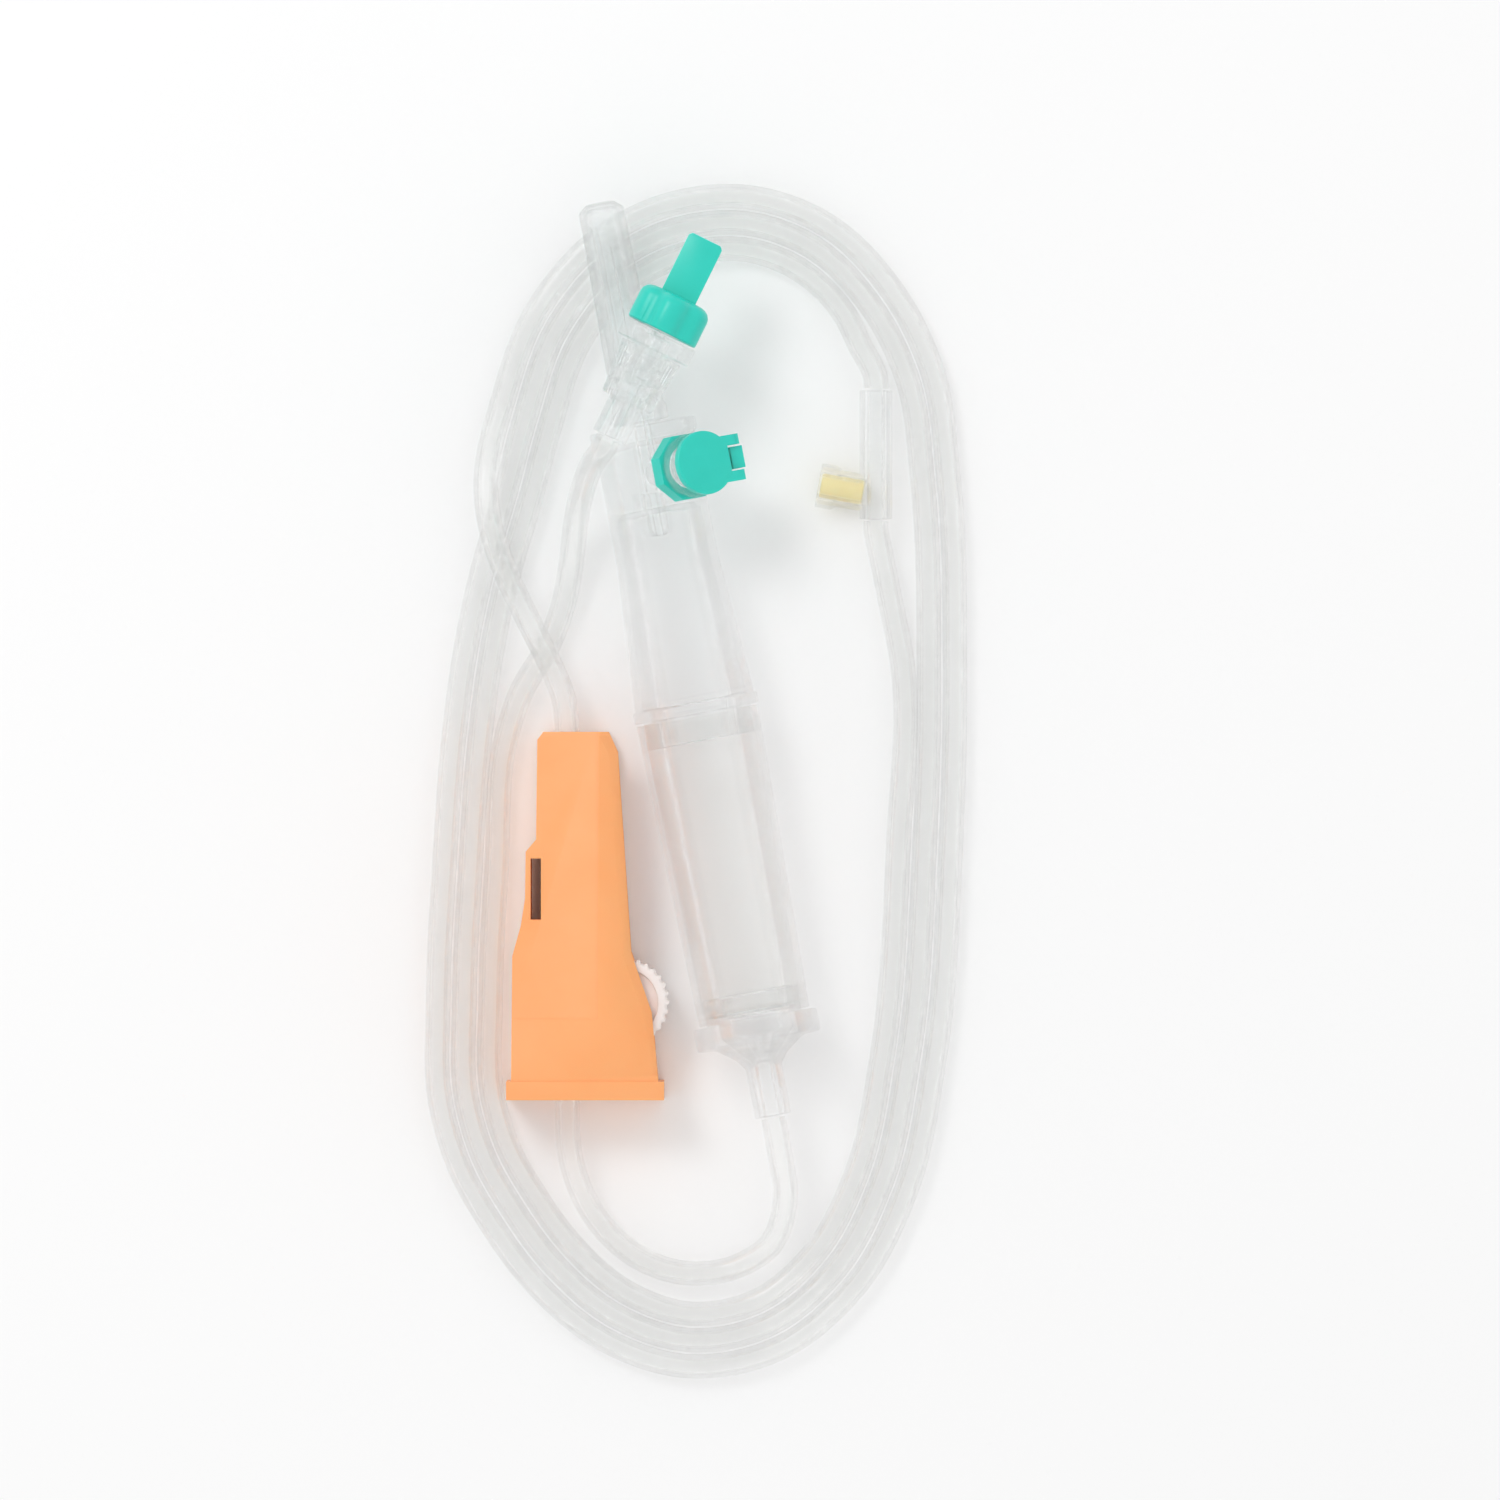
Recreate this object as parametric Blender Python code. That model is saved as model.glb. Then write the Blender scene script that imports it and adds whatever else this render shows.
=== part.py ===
# Gravity infusion set with a vented drip chamber, lying flat on a table.
# Sizes are in millimetres here and become metres where a mesh or a place is made.
# +X is right, +Y is up the photograph and +Z is away from the table.
import math

import bmesh
import bpy
from mathutils import Vector

MM = 0.001
GAP = 0.3
# Small chamfer on moulded rims, and how far a cutter or a joined block runs past a face
EDGE = 0.3
OVERRUN = 1.0
ARROW_SIZE = 5.0

# Where the groups lie, with their turn seen from above in degrees
ORIGIN = (0.35, 0.82)
CHAMBER_PLACE = (9.7, -61.68)
CHAMBER_TURN = 10.76
CONNECTOR_TURN = -26.3
# The connector lies across the spike cap, so far past the finger flange and to the left
CONNECTOR_PAST_FLANGE = 3.5
CONNECTOR_ASIDE = 1.9
CONNECTOR_CLEAR = 0.5
CLAMP_PLACE = (-31.65, -71.2)
SITE_PLACE = (28.9, 27.9)

# Tubing
TUBE_RADIUS = 2.05
TUBE_BORE = 1.5
LANE_PITCH = 4.3
SOCKET_WALL = 0.95
SOCKET_RADIUS = TUBE_RADIUS + SOCKET_WALL

# Foot of the drip chamber
RING_RADIUS = 10.3
HOLDER_RING = 3.8
HOLDER_NECK = 4.2
SOCKET_LENGTH = 8.2
HOLDER_SPIGOT = 4.4
SPIGOT_WALL = 0.9
FILTER_LEDGE = 0.9
FILTER_THICK = 0.5
FUNNEL_SPREAD = 1.2
FUNNEL_WAIST = 2.5
FUNNEL_WALL = 0.6
FUNNEL_LIP = 1.5

# Soft lower half of the drip chamber
SOFT_LENGTH = 50.2
SOFT_FOOT_RADIUS = 9.15
SOFT_HEAD_RADIUS = 10.1
SOFT_WALL = 1.0

# Rigid upper half with its flange, hub and spike
HOUSING_WALL = 1.2
HOUSING_SPIGOT = 4.5
HOUSING_RIM = 1.8
HOUSING_FOOT_RADIUS = 9.9
HOUSING_RADIUS = 8.3
HOUSING_TAPER = 24.0
HOUSING_LENGTH = 44.0
HUB_LENGTH = 11.5
SHOULDER = 1.2
FLANGE_HALF_WIDTH = 8.8
FLANGE_HALF_DEPTH = 6.2
FLANGE_EDGE = 0.5
FLANGE_THICK = 2.4
SPIKE_RADIUS = 3.1
SPIKE_TIP_RADIUS = 2.4
SPIKE_LENGTH = 34.0
SPIKE_BEVEL = 7.0
SPIKE_POINT = 0.4
FLUID_BORE = 1.0
FLUID_OFFSET = 0.8
AIR_BORE = 0.5
AIR_OFFSET = 1.5
NOZZLE_RADIUS = 1.7
NOZZLE_BORE = 0.7
NOZZLE_LENGTH = 7.0
NOZZLE_SEAT = 2.5
NOZZLE_TAPER = 0.4
NOZZLE_LEAD = 1.0
CAP_WALL = 0.8
CAP_FOOT = 3.0
CAP_FOOT_EXTRA = 0.35
CAP_FOOT_SLOPE = 0.6
CAP_LENGTH = 36.6
CAP_TIP_SLACK = 0.2
CAP_TIP_ROUND = 1.3

# Vent port, turned about the chamber from straight up towards the right
VENT_TURN = 32.0
VENT_DROP = 6.0
VENT_BORE = 2.0
VENT_WALL = 1.3
VENT_HEIGHT = 14.0
VENT_COLLAR_LOW = 9.2
VENT_COLLAR_THICK = 2.6
VENT_COLLAR_ACROSS = 10.5
MEMBRANE_THICK = 0.4
BEZEL_RADIUS = 5.2
BEZEL_LIP = 0.7
FLAP_RADIUS = 5.2
FLAP_THICK = 1.2
FLAP_NOTCH = 0.5
HINGE_CLEAR = 0.6
HINGE_RADIUS = 0.8
HINGE_LENGTH = 7.6
HINGE_MIDDLE = 3.6
HINGE_TAB = 1.7
STRAP_THICK = 2.4

# Roller clamp, lying on its side: x across the photo, y along the tube
CLAMP_LENGTH = 60.2
CLAMP_FLANGE = (25.8, 3.0, 13.6)
CLAMP_SIDE_INSET = 0.3
CLAMP_SIDE_WALL = 1.7
CLAMP_BED = 7.6
CLAMP_CHANNEL_START = 8.0
CLAMP_CORNER = 3.3
CLAMP_OUTLINE = (
    (0.8, 1.5),
    (1.0, 23.5),
    (2.4, 28.5),
    (3.1, 33.0),
    (3.2, 40.6),
    (4.9, 42.6),
    (5.1, CLAMP_LENGTH - 1.3),
    (6.1, CLAMP_LENGTH),
    (16.7, CLAMP_LENGTH),
    (18.2, CLAMP_LENGTH - CLAMP_CORNER),
    (20.4, 24.2),
    (23.8, 14.4),
    (25.0, 1.5),
)
CLAMP_EDGE = 0.4
POCKET_LOW = (1.9, 2.2)
POCKET_SIZE = (4.7, 21.5, 9.2)
WINDOW_LOW = (4.0, 29.5)
WINDOW_SIZE = (1.7, 10.0)
GROOVE_DEPTH = 1.0
ROLLER_RADIUS = 7.2
ROLLER_TEETH = 30
ROLLER_TOOTH = 0.35
ROLLER_EDGE = 0.5
STUB_RADIUS = 1.3
# The roller is clear of the tube at the low end of its grooves and pinches it at the high end
ROLLER_OPEN = 0.2
ROLLER_PINCH = 1.3
ROLLER_LOW = 15.9
ROLLER_HIGH = 45.3

# Injection site
SITE_RUN_RADIUS = 2.7
SITE_RUN_UP = 17.2
SITE_RUN_DOWN = 4.0
SITE_BRANCH_TURN = 10.0
SITE_BRANCH_LENGTH = 9.6
SITE_BRANCH_WALL = 0.8
SITE_CUP_LENGTH = 3.4
SITE_CUP_EXTRA = 0.6
SEPTUM_RADIUS = 2.0
SEPTUM_SINK = 0.4
SEPTUM_FLOOR = 0.4

# Connector with its locking collar and end cap
LUER_SOCKET = 6.0
LUER_FLANGE_RADIUS = 3.3
LUER_FLANGE_THICK = 1.4
LUER_NOZZLE_RADIUS = 2.0
LUER_NOZZLE_LENGTH = 8.6
LUER_BORE = 1.0
LUER_TAPER = 0.2
LUER_NECK_STEP = 0.4
LOCK_LENGTH = 9.2
LOCK_FOOT_RADIUS = 4.5
LOCK_HEAD_RADIUS = 5.2
LOCK_RIBS = 20
LOCK_RIB = 0.3
LOCK_FLOOR = 1.2
LOCK_BORE = 3.9
SEAT_RADIUS = 6.4
SEAT_THICK = 3.0
SEAT_SPIGOT = 5.2
SEAT_SPIGOT_RADIUS = 3.3
CAP_BASE_RADIUS = 6.0
CAP_BASE_LOBES = 6
CAP_BASE_LOBE = 0.4
CAP_BASE_LENGTH = 6.3
CAP_BASE_EDGE = 1.2
CAP_BAR_WIDTH = 6.0
CAP_BAR_THICK = 2.2
CAP_BAR_LENGTH = 10.4
CAP_BAR_CORNER = 0.5
CAP_RECESS = 1.2
CAP_RECESS_RADIUS = 3.4

# Route of the tube from the drip chamber through the clamp and onto the loops
LEAD_IN = (
    (13.0, -79.5, 9.7),
    (14.0, -88.0, 6.4),
    (11.6, -95.2, 3.7),
    (5.0, -99.2, 2.2),
    (-3.3, -99.8, 2.1),
    (-11.0, -96.8, 2.7),
    (-17.9, -89.5, 4.4),
    (-21.1, -81.3, 6.1),
)
OVER_LOOPS = (
    (-22.3, -5.6, 6.7),
    (-24.9, 0.8, 6.6),
    (-28.3, 7.6, 6.6),
    (-32.0, 15.5, 6.6),
    (-34.5, 23.5, 6.5),
    (-35.1, 30.2, 5.4),
    (-34.4, 36.0, 3.5),
)
# Outer loop, clockwise from the upper left; the inner loops lie beside it
LOOP = (
    (-32.9, 41.6),
    (-27.0, 57.8),
    (-17.5, 69.2),
    (-5.0, 75.7),
    (8.5, 76.8),
    (21.0, 72.2),
    (31.0, 62.3),
    (38.1, 48.5),
    (40.9, 30.0),
    (41.9, 0.0),
    (41.2, -30.0),
    (38.5, -65.0),
    (33.8, -86.5),
    (25.5, -102.0),
    (13.0, -112.3),
    (-2.0, -115.2),
    (-16.5, -110.4),
    (-27.5, -101.0),
    (-34.5, -91.5),
    (-39.5, -82.5),
    (-42.6, -72.0),
    (-43.0, -55.0),
    (-42.0, -33.0),
    (-40.3, -10.7),
    (-38.5, 2.5),
    (-37.0, 15.0),
    (-35.2, 28.5),
)
# Places in the loop where a turn starts to slide inwards, and where the site sits
SHIFT_START = 24
SITE_LOOP_END = 7
SITE_LOOP_START = 9
INTO_SITE = (
    (26.3, 52.4, 2.6),
    (28.1, 49.2, 3.3),
)
OUT_OF_SITE = (
    (29.5, 19.2, 3.2),
    (31.4, 10.0, 2.3),
)
TO_CONNECTOR = (
    (-29.2, -4.0, 2.1),
    (-25.2, 2.6, 2.1),
    (-22.4, 10.0, 2.4),
    (-21.1, 17.0, 4.2),
    (-20.3, 23.5, 8.0),
    (-19.0, 29.0, 13.0),
    (-17.2, 33.2, 17.6),
)
LOOP_HEIGHT = 2.1
# Each end of a tube runs straight for this far
STRAIGHT = 1.5

# Finishes
CLEAR = (0.86, 0.89, 0.88)
SOFT_CLEAR = (0.84, 0.87, 0.85)
TEAL = (0.04, 0.63, 0.50)
ORANGE = (1.0, 0.38, 0.13)
ROLLER_WHITE = (0.90, 0.86, 0.82)
YELLOW = (0.90, 0.78, 0.40)
WHITE = (0.93, 0.93, 0.91)


def clear_scene():
    for thing in list(bpy.data.objects):
        bpy.data.objects.remove(thing, do_unlink=True)


def empty(name, place, turn=(0, 0, 0), parent=None):
    thing = bpy.data.objects.new(name, None)
    thing.empty_display_size = ARROW_SIZE * MM
    thing.location = [v * MM for v in place]
    thing.rotation_euler = [math.radians(v) for v in turn]
    thing.parent = parent
    bpy.context.scene.collection.objects.link(thing)
    return thing


def place_mesh(name, bm, parent, place=(0, 0, 0), turn=(0, 0, 0)):
    bmesh.ops.recalc_face_normals(bm, faces=bm.faces)
    mesh = bpy.data.meshes.new(name)
    bm.to_mesh(mesh)
    bm.free()
    mesh.shade_smooth()
    mesh.set_sharp_from_angle(angle=math.radians(35))
    thing = bpy.data.objects.new(name, mesh)
    thing.location = [v * MM for v in place]
    thing.rotation_euler = [math.radians(v) for v in turn]
    thing.parent = parent
    bpy.context.scene.collection.objects.link(thing)
    return thing


def finish(thing, colour, roughness, transmission=0.0):
    material = bpy.data.materials.new(thing.name + "_finish")
    material.use_nodes = True
    shader = material.node_tree.nodes["Principled BSDF"]
    shader.inputs["Base Color"].default_value = (*colour, 1)
    shader.inputs["Roughness"].default_value = roughness
    shader.inputs["Metallic"].default_value = 0.0
    shader.inputs["Transmission Weight"].default_value = transmission
    material.diffuse_color = (*colour, 1)
    thing.data.materials.append(material)
    return thing


def turned(name, profile, sides, parent, place=(0, 0, 0), turn=(0, 0, 0)):
    # The profile is a closed outline of radius and height, spun about local Z
    bm = bmesh.new()
    rings = []
    for radius, height in profile:
        if radius == 0:
            rings.append([bm.verts.new((0, 0, height * MM))])
            continue
        ring = []
        for i in range(sides):
            angle = 2 * math.pi * i / sides
            at = (radius * math.cos(angle), radius * math.sin(angle), height)
            ring.append(bm.verts.new([v * MM for v in at]))
        rings.append(ring)
    for low, high in zip(rings, rings[1:] + rings[:1]):
        for i in range(sides):
            j = (i + 1) % sides
            corners = [low[i % len(low)], low[j % len(low)], high[j % len(high)], high[i % len(high)]]
            corners = list(dict.fromkeys(corners))
            if len(corners) > 2:
                bm.faces.new(corners)
    return place_mesh(name, bm, parent, place, turn)


def stacked(name, rings, parent, place=(0, 0, 0), turn=(0, 0, 0)):
    # Each ring is a height and an outline of x, y points with the same count
    bm = bmesh.new()
    loops = []
    for height, outline in rings:
        loops.append([bm.verts.new((x * MM, y * MM, height * MM)) for x, y in outline])
    for low, high in zip(loops, loops[1:]):
        for i in range(len(low)):
            j = (i + 1) % len(low)
            bm.faces.new((low[i], low[j], high[j], high[i]))
    bm.faces.new(loops[0][::-1])
    bm.faces.new(loops[-1])
    return place_mesh(name, bm, parent, place, turn)


def extruded(name, outline, low, high, parent, place=(0, 0, 0), turn=(0, 0, 0)):
    return stacked(name, ((low, outline), (high, outline)), parent, place, turn)


def block(name, low, high, parent, place=(0, 0, 0), turn=(0, 0, 0)):
    outline = ((low[0], low[1]), (high[0], low[1]), (high[0], high[1]), (low[0], high[1]))
    return extruded(name, outline, low[2], high[2], parent, place, turn)


def rod(name, radius, low, high, sides, parent, place=(0, 0, 0), turn=(0, 0, 0)):
    profile = ((0, low), (radius, low), (radius, high), (0, high))
    return turned(name, profile, sides, parent, place, turn)


def boolean(target, operation, *tools):
    for tool in tools:
        tool.hide_render = True
        tool.display_type = "WIRE"
        modifier = target.modifiers.new(operation.lower(), "BOOLEAN")
        modifier.operation = operation
        modifier.solver = "EXACT"
        modifier.object = tool


def cut(target, *tools):
    boolean(target, "DIFFERENCE", *tools)


def join(target, *tools):
    boolean(target, "UNION", *tools)


def lobed(radius, lobes, depth, steps):
    # Outline whose radius swings once for each lobe
    outline = []
    for i in range(lobes * steps):
        angle = 2 * math.pi * i / (lobes * steps)
        reach = radius + depth * math.cos(lobes * angle)
        outline.append((reach * math.cos(angle), reach * math.sin(angle)))
    return outline


def oval(half_x, half_y, count):
    outline = []
    for i in range(count):
        angle = 2 * math.pi * i / count
        outline.append((half_x * math.cos(angle), half_y * math.sin(angle)))
    return outline


# Drip chamber: heights run along its axis, from the outlet to the tip of the spike
SOFT_LOW = HOLDER_RING + GAP
SOFT_HIGH = SOFT_LOW + SOFT_LENGTH
RIM_LOW = SOFT_HIGH + GAP
BODY_LOW = RIM_LOW + HOUSING_RIM
BODY_HIGH = BODY_LOW + HOUSING_LENGTH
HUB_LOW = BODY_HIGH - HUB_LENGTH
FLANGE_HIGH = BODY_HIGH + FLANGE_THICK
SPIKE_HIGH = FLANGE_HIGH + SPIKE_LENGTH
VENT_AT = BODY_HIGH - VENT_DROP
OUTLET_END = -HOLDER_NECK - SOCKET_LENGTH

# The injection site rests on the rim of its cup
BRANCH_RADIUS = SEPTUM_RADIUS + GAP + SITE_BRANCH_WALL
SITE_HEIGHT = BRANCH_RADIUS + SITE_CUP_EXTRA

# Centres of the roller at the two ends of its grooves
ROLLER_START = (CLAMP_BED + GAP + 2 * TUBE_RADIUS + ROLLER_OPEN + ROLLER_RADIUS, ROLLER_LOW)
ROLLER_END = (CLAMP_BED + ROLLER_PINCH + ROLLER_RADIUS, ROLLER_HIGH)


def along(place, height, turn, distance, right=0.0):
    # A point at a distance along an axis that lies level and turned from +Y
    angle = math.radians(turn)
    x = place[0] - math.sin(angle) * distance + math.cos(angle) * right
    y = place[1] + math.cos(angle) * distance + math.sin(angle) * right
    return (x, y, height)


# The locking collar lies on the sheath of the spike cap
SHEATH_RADIUS = SPIKE_RADIUS + GAP + CAP_WALL
CONNECTOR_PLACE = along(
    CHAMBER_PLACE,
    RING_RADIUS + SHEATH_RADIUS + CONNECTOR_CLEAR + LOCK_HEAD_RADIUS,
    CHAMBER_TURN,
    FLANGE_HIGH + CONNECTOR_PAST_FLANGE,
    -CONNECTOR_ASIDE,
)


def make_filter_holder(frame):
    spigot = SOFT_FOOT_RADIUS - SOFT_WALL - GAP
    pocket = spigot - SPIGOT_WALL
    ledge = pocket - FILTER_LEDGE
    top = HOLDER_RING + HOLDER_SPIGOT
    seat = HOLDER_RING + FILTER_LEDGE
    profile = (
        (TUBE_BORE, OUTLET_END),
        (SOCKET_RADIUS - EDGE, OUTLET_END),
        (SOCKET_RADIUS, OUTLET_END + EDGE),
        (SOCKET_RADIUS, -HOLDER_NECK),
        (SOCKET_RADIUS + FUNNEL_SPREAD, -FUNNEL_WAIST),
        (spigot - FUNNEL_SPREAD, -FUNNEL_WALL),
        (spigot, 0),
        (RING_RADIUS - EDGE, 0),
        (RING_RADIUS, EDGE),
        (RING_RADIUS, HOLDER_RING - EDGE),
        (RING_RADIUS - EDGE, HOLDER_RING),
        (spigot, HOLDER_RING),
        (spigot, top),
        (pocket, top),
        (pocket, seat),
        (ledge, seat),
        (ledge, FUNNEL_LIP),
        (TUBE_BORE, -HOLDER_NECK + FUNNEL_WALL),
    )
    holder = turned("filter_holder", profile, 32, frame)
    finish(holder, CLEAR, 0.15, 0.8)
    low = seat + GAP
    radius = pocket - GAP
    mesh = rod("fluid_filter", radius, low, low + FILTER_THICK, 32, frame)
    finish(mesh, WHITE, 0.7)


def make_drip_chamber(frame):
    profile = (
        (SOFT_FOOT_RADIUS - SOFT_WALL, SOFT_LOW),
        (SOFT_FOOT_RADIUS, SOFT_LOW),
        (SOFT_HEAD_RADIUS, SOFT_HIGH),
        (SOFT_HEAD_RADIUS - SOFT_WALL, SOFT_HIGH),
    )
    chamber = turned("drip_chamber", profile, 32, frame)
    finish(chamber, SOFT_CLEAR, 0.2, 0.8)


def make_spike_housing(frame, vent):
    inner_foot = HOUSING_FOOT_RADIUS - HOUSING_WALL
    inner = HOUSING_RADIUS - HOUSING_WALL
    spigot = SOFT_HEAD_RADIUS - SOFT_WALL - GAP
    spigot_bore = spigot - HOUSING_WALL
    taper_high = BODY_LOW + HOUSING_TAPER
    profile = (
        (spigot_bore, RIM_LOW - HOUSING_SPIGOT),
        (spigot, RIM_LOW - HOUSING_SPIGOT),
        (spigot, RIM_LOW),
        (RING_RADIUS - EDGE, RIM_LOW),
        (RING_RADIUS, RIM_LOW + EDGE),
        (RING_RADIUS, BODY_LOW - EDGE),
        (HOUSING_FOOT_RADIUS, BODY_LOW),
        (HOUSING_RADIUS, taper_high),
        (HOUSING_RADIUS, BODY_HIGH - SHOULDER),
        (HOUSING_RADIUS - SHOULDER, BODY_HIGH),
        (SPIKE_RADIUS, BODY_HIGH),
        (SPIKE_RADIUS, FLANGE_HIGH + CAP_FOOT),
        (SPIKE_TIP_RADIUS, SPIKE_HIGH - SPIKE_BEVEL),
        (SPIKE_TIP_RADIUS, SPIKE_HIGH),
        (0, SPIKE_HIGH),
        (0, HUB_LOW),
        (inner - SHOULDER, HUB_LOW),
        (inner, HUB_LOW - SHOULDER),
        (inner, taper_high),
        (inner_foot, BODY_LOW),
        (spigot_bore, BODY_LOW),
    )
    housing = turned("spike_housing", profile, 32, frame)
    boss = rod("vent_boss", VENT_BORE + VENT_WALL, HOUSING_RADIUS / 2, VENT_HEIGHT, 24, vent)
    # The finger flange is oval, widest across the chamber
    rim = oval(FLANGE_HALF_WIDTH, FLANGE_HALF_DEPTH, 32)
    inset = oval(FLANGE_HALF_WIDTH - FLANGE_EDGE, FLANGE_HALF_DEPTH - FLANGE_EDGE, 32)
    rings = (
        (BODY_HIGH - SHOULDER / 2, inset),
        (BODY_HIGH + FLANGE_EDGE, rim),
        (FLANGE_HIGH - FLANGE_EDGE, rim),
        (FLANGE_HIGH, inset),
    )
    flange = stacked("finger_flange", rings, frame)
    join(housing, boss, flange)
    vent_bore = rod("vent_bore_cutter", VENT_BORE, AIR_OFFSET, VENT_HEIGHT + OVERRUN, 20, vent)
    angle = math.radians(VENT_TURN)
    away = (math.sin(angle), -math.cos(angle))
    fluid_at = (-away[0] * FLUID_OFFSET, -away[1] * FLUID_OFFSET, 0)
    air_at = (away[0] * AIR_OFFSET, away[1] * AIR_OFFSET, 0)
    below = HUB_LOW - OVERRUN
    above = SPIKE_HIGH + OVERRUN
    fluid = rod("fluid_bore_cutter", FLUID_BORE, below, above, 12, frame, fluid_at)
    air = rod("air_bore_cutter", AIR_BORE, VENT_AT, above, 8, frame, air_at)
    seat_radius = NOZZLE_RADIUS + GAP
    seat_high = HUB_LOW + NOZZLE_SEAT + GAP
    seat = rod("nozzle_seat_cutter", seat_radius, below, seat_high, 16, frame, fluid_at)
    # The tip is cut slanting so that it ends in a point
    slope = math.atan2(SPIKE_BEVEL, 2 * SPIKE_TIP_RADIUS)
    reach = 3 * SPIKE_BEVEL
    bevel = block(
        "spike_bevel_cutter",
        (-reach, -reach, 0),
        (reach, reach, reach),
        frame,
        (-SPIKE_TIP_RADIUS, 0, SPIKE_HIGH - SPIKE_POINT),
        (0, math.degrees(slope), 0),
    )
    cut(housing, vent_bore, fluid, air, seat, bevel)
    finish(housing, CLEAR, 0.12, 0.8)

    nozzle_low = HUB_LOW + NOZZLE_SEAT - NOZZLE_LENGTH
    nozzle_profile = (
        (NOZZLE_BORE, nozzle_low),
        (NOZZLE_RADIUS - NOZZLE_TAPER, nozzle_low),
        (NOZZLE_RADIUS, nozzle_low + NOZZLE_LEAD),
        (NOZZLE_RADIUS, HUB_LOW + NOZZLE_SEAT),
        (NOZZLE_BORE, HUB_LOW + NOZZLE_SEAT),
    )
    nozzle = turned("drop_nozzle", nozzle_profile, 16, frame, fluid_at)
    finish(nozzle, CLEAR, 0.1, 0.7)


def make_spike_cap(frame):
    low = FLANGE_HIGH + GAP
    high = low + CAP_LENGTH
    inner = SPIKE_RADIUS + GAP
    inner_tip = SPIKE_TIP_RADIUS + GAP + CAP_TIP_SLACK
    outer_tip = inner_tip + CAP_WALL
    profile = [
        (inner, low),
        (SHEATH_RADIUS + CAP_FOOT_EXTRA, low),
        (SHEATH_RADIUS + CAP_FOOT_EXTRA, low + CAP_FOOT - CAP_FOOT_SLOPE),
        (SHEATH_RADIUS, low + CAP_FOOT),
    ]
    for i in range(4):
        angle = math.radians(30 * i)
        inset = CAP_TIP_ROUND * (1 - math.cos(angle))
        drop = CAP_TIP_ROUND * (1 - math.sin(angle))
        profile.append((outer_tip - inset, high - drop))
    profile += [
        (0, high),
        (0, high - CAP_WALL),
        (inner_tip - CAP_WALL, high - CAP_WALL),
        (inner_tip, high - 2 * CAP_WALL),
        (inner, low + CAP_FOOT),
    ]
    cap = turned("spike_cap", profile, 24, frame)
    finish(cap, CLEAR, 0.2, 0.8)


def make_vent(vent):
    # Local Z points out of the port and local X at the hinge
    boss = VENT_BORE + VENT_WALL
    membrane_low = VENT_HEIGHT + GAP
    lip_low = membrane_low + MEMBRANE_THICK + GAP
    bezel_high = lip_low + BEZEL_LIP
    bezel_inner = boss + GAP
    collar_high = VENT_COLLAR_LOW + VENT_COLLAR_THICK

    membrane = rod("vent_membrane", boss, membrane_low, membrane_low + MEMBRANE_THICK, 24, vent)
    finish(membrane, WHITE, 0.8)

    bezel_profile = (
        (bezel_inner, collar_high + GAP),
        (BEZEL_RADIUS, collar_high + GAP),
        (BEZEL_RADIUS, bezel_high - EDGE),
        (BEZEL_RADIUS - EDGE, bezel_high),
        (VENT_BORE, bezel_high),
        (VENT_BORE, lip_low),
        (bezel_inner, lip_low),
    )
    bezel = turned("vent_bezel", bezel_profile, 24, vent)
    finish(bezel, CLEAR, 0.15, 0.8)

    # Teal ring with the strap and the middle tab of the hinge
    octagon = []
    for i in range(8):
        angle = math.pi * (2 * i + 1) / 8
        reach = VENT_COLLAR_ACROSS / 2 / math.cos(math.pi / 8)
        octagon.append((reach * math.cos(angle), reach * math.sin(angle)))
    collar = extruded("vent_collar", octagon, VENT_COLLAR_LOW, collar_high, vent)
    flap_low = bezel_high + GAP
    flap_high = flap_low + FLAP_THICK
    hinge_out = FLAP_RADIUS + HINGE_CLEAR + HINGE_RADIUS
    hinge_height = flap_high - HINGE_RADIUS
    half = HINGE_MIDDLE / 2
    strap_in = BEZEL_RADIUS + GAP
    strap_out = strap_in + STRAP_THICK
    tab_in = FLAP_RADIUS - FLAP_NOTCH + 2 * GAP
    foot = block(
        "strap_foot",
        (VENT_COLLAR_ACROSS / 2 - OVERRUN, -half, VENT_COLLAR_LOW),
        (strap_out, half, collar_high),
        vent,
    )
    strap = block("strap_riser", (strap_in, -half, collar_high - EDGE), (strap_out, half, hinge_height), vent)
    tab = block("strap_tab", (tab_in, -half, flap_low), (hinge_out + HINGE_TAB, half, flap_high), vent)
    bore_low = VENT_COLLAR_LOW - OVERRUN
    bore = rod("collar_bore_cutter", boss + GAP, bore_low, collar_high + OVERRUN, 24, vent)
    join(collar, foot, strap, tab)
    cut(collar, bore)
    finish(collar, TEAL, 0.4)

    # Teal flap, made about its hinge line, with an ear on each side of the tab
    hinge = empty("flap_hinge", (hinge_out, 0, hinge_height), (0, 0, 0), vent)
    low = flap_low - hinge_height
    flap_profile = (
        (0, low),
        (FLAP_RADIUS, low),
        (FLAP_RADIUS, HINGE_RADIUS - EDGE),
        (FLAP_RADIUS - EDGE, HINGE_RADIUS),
        (0, HINGE_RADIUS),
    )
    flap = turned("vent_flap", flap_profile, 32, hinge, (-hinge_out, 0, 0))
    for side in (-1, 1):
        near, far = sorted((side * (half + GAP), side * HINGE_LENGTH / 2))
        name = "right" if side > 0 else "left"
        ear = rod(name + "_ear", HINGE_RADIUS, -far, -near, 16, hinge, (0, 0, 0), (90, 0, 0))
        arm = block(name + "_arm", (-FLAP_RADIUS, near, low + EDGE), (0, far, HINGE_RADIUS - EDGE / 10), hinge)
        join(flap, ear, arm)
    notch_in = FLAP_RADIUS - FLAP_NOTCH - hinge_out
    notch = block("flap_notch_cutter", (notch_in, -half - GAP, low - OVERRUN), (0, half + GAP, OVERRUN), hinge)
    cut(flap, notch)
    finish(flap, TEAL, 0.4)


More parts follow.
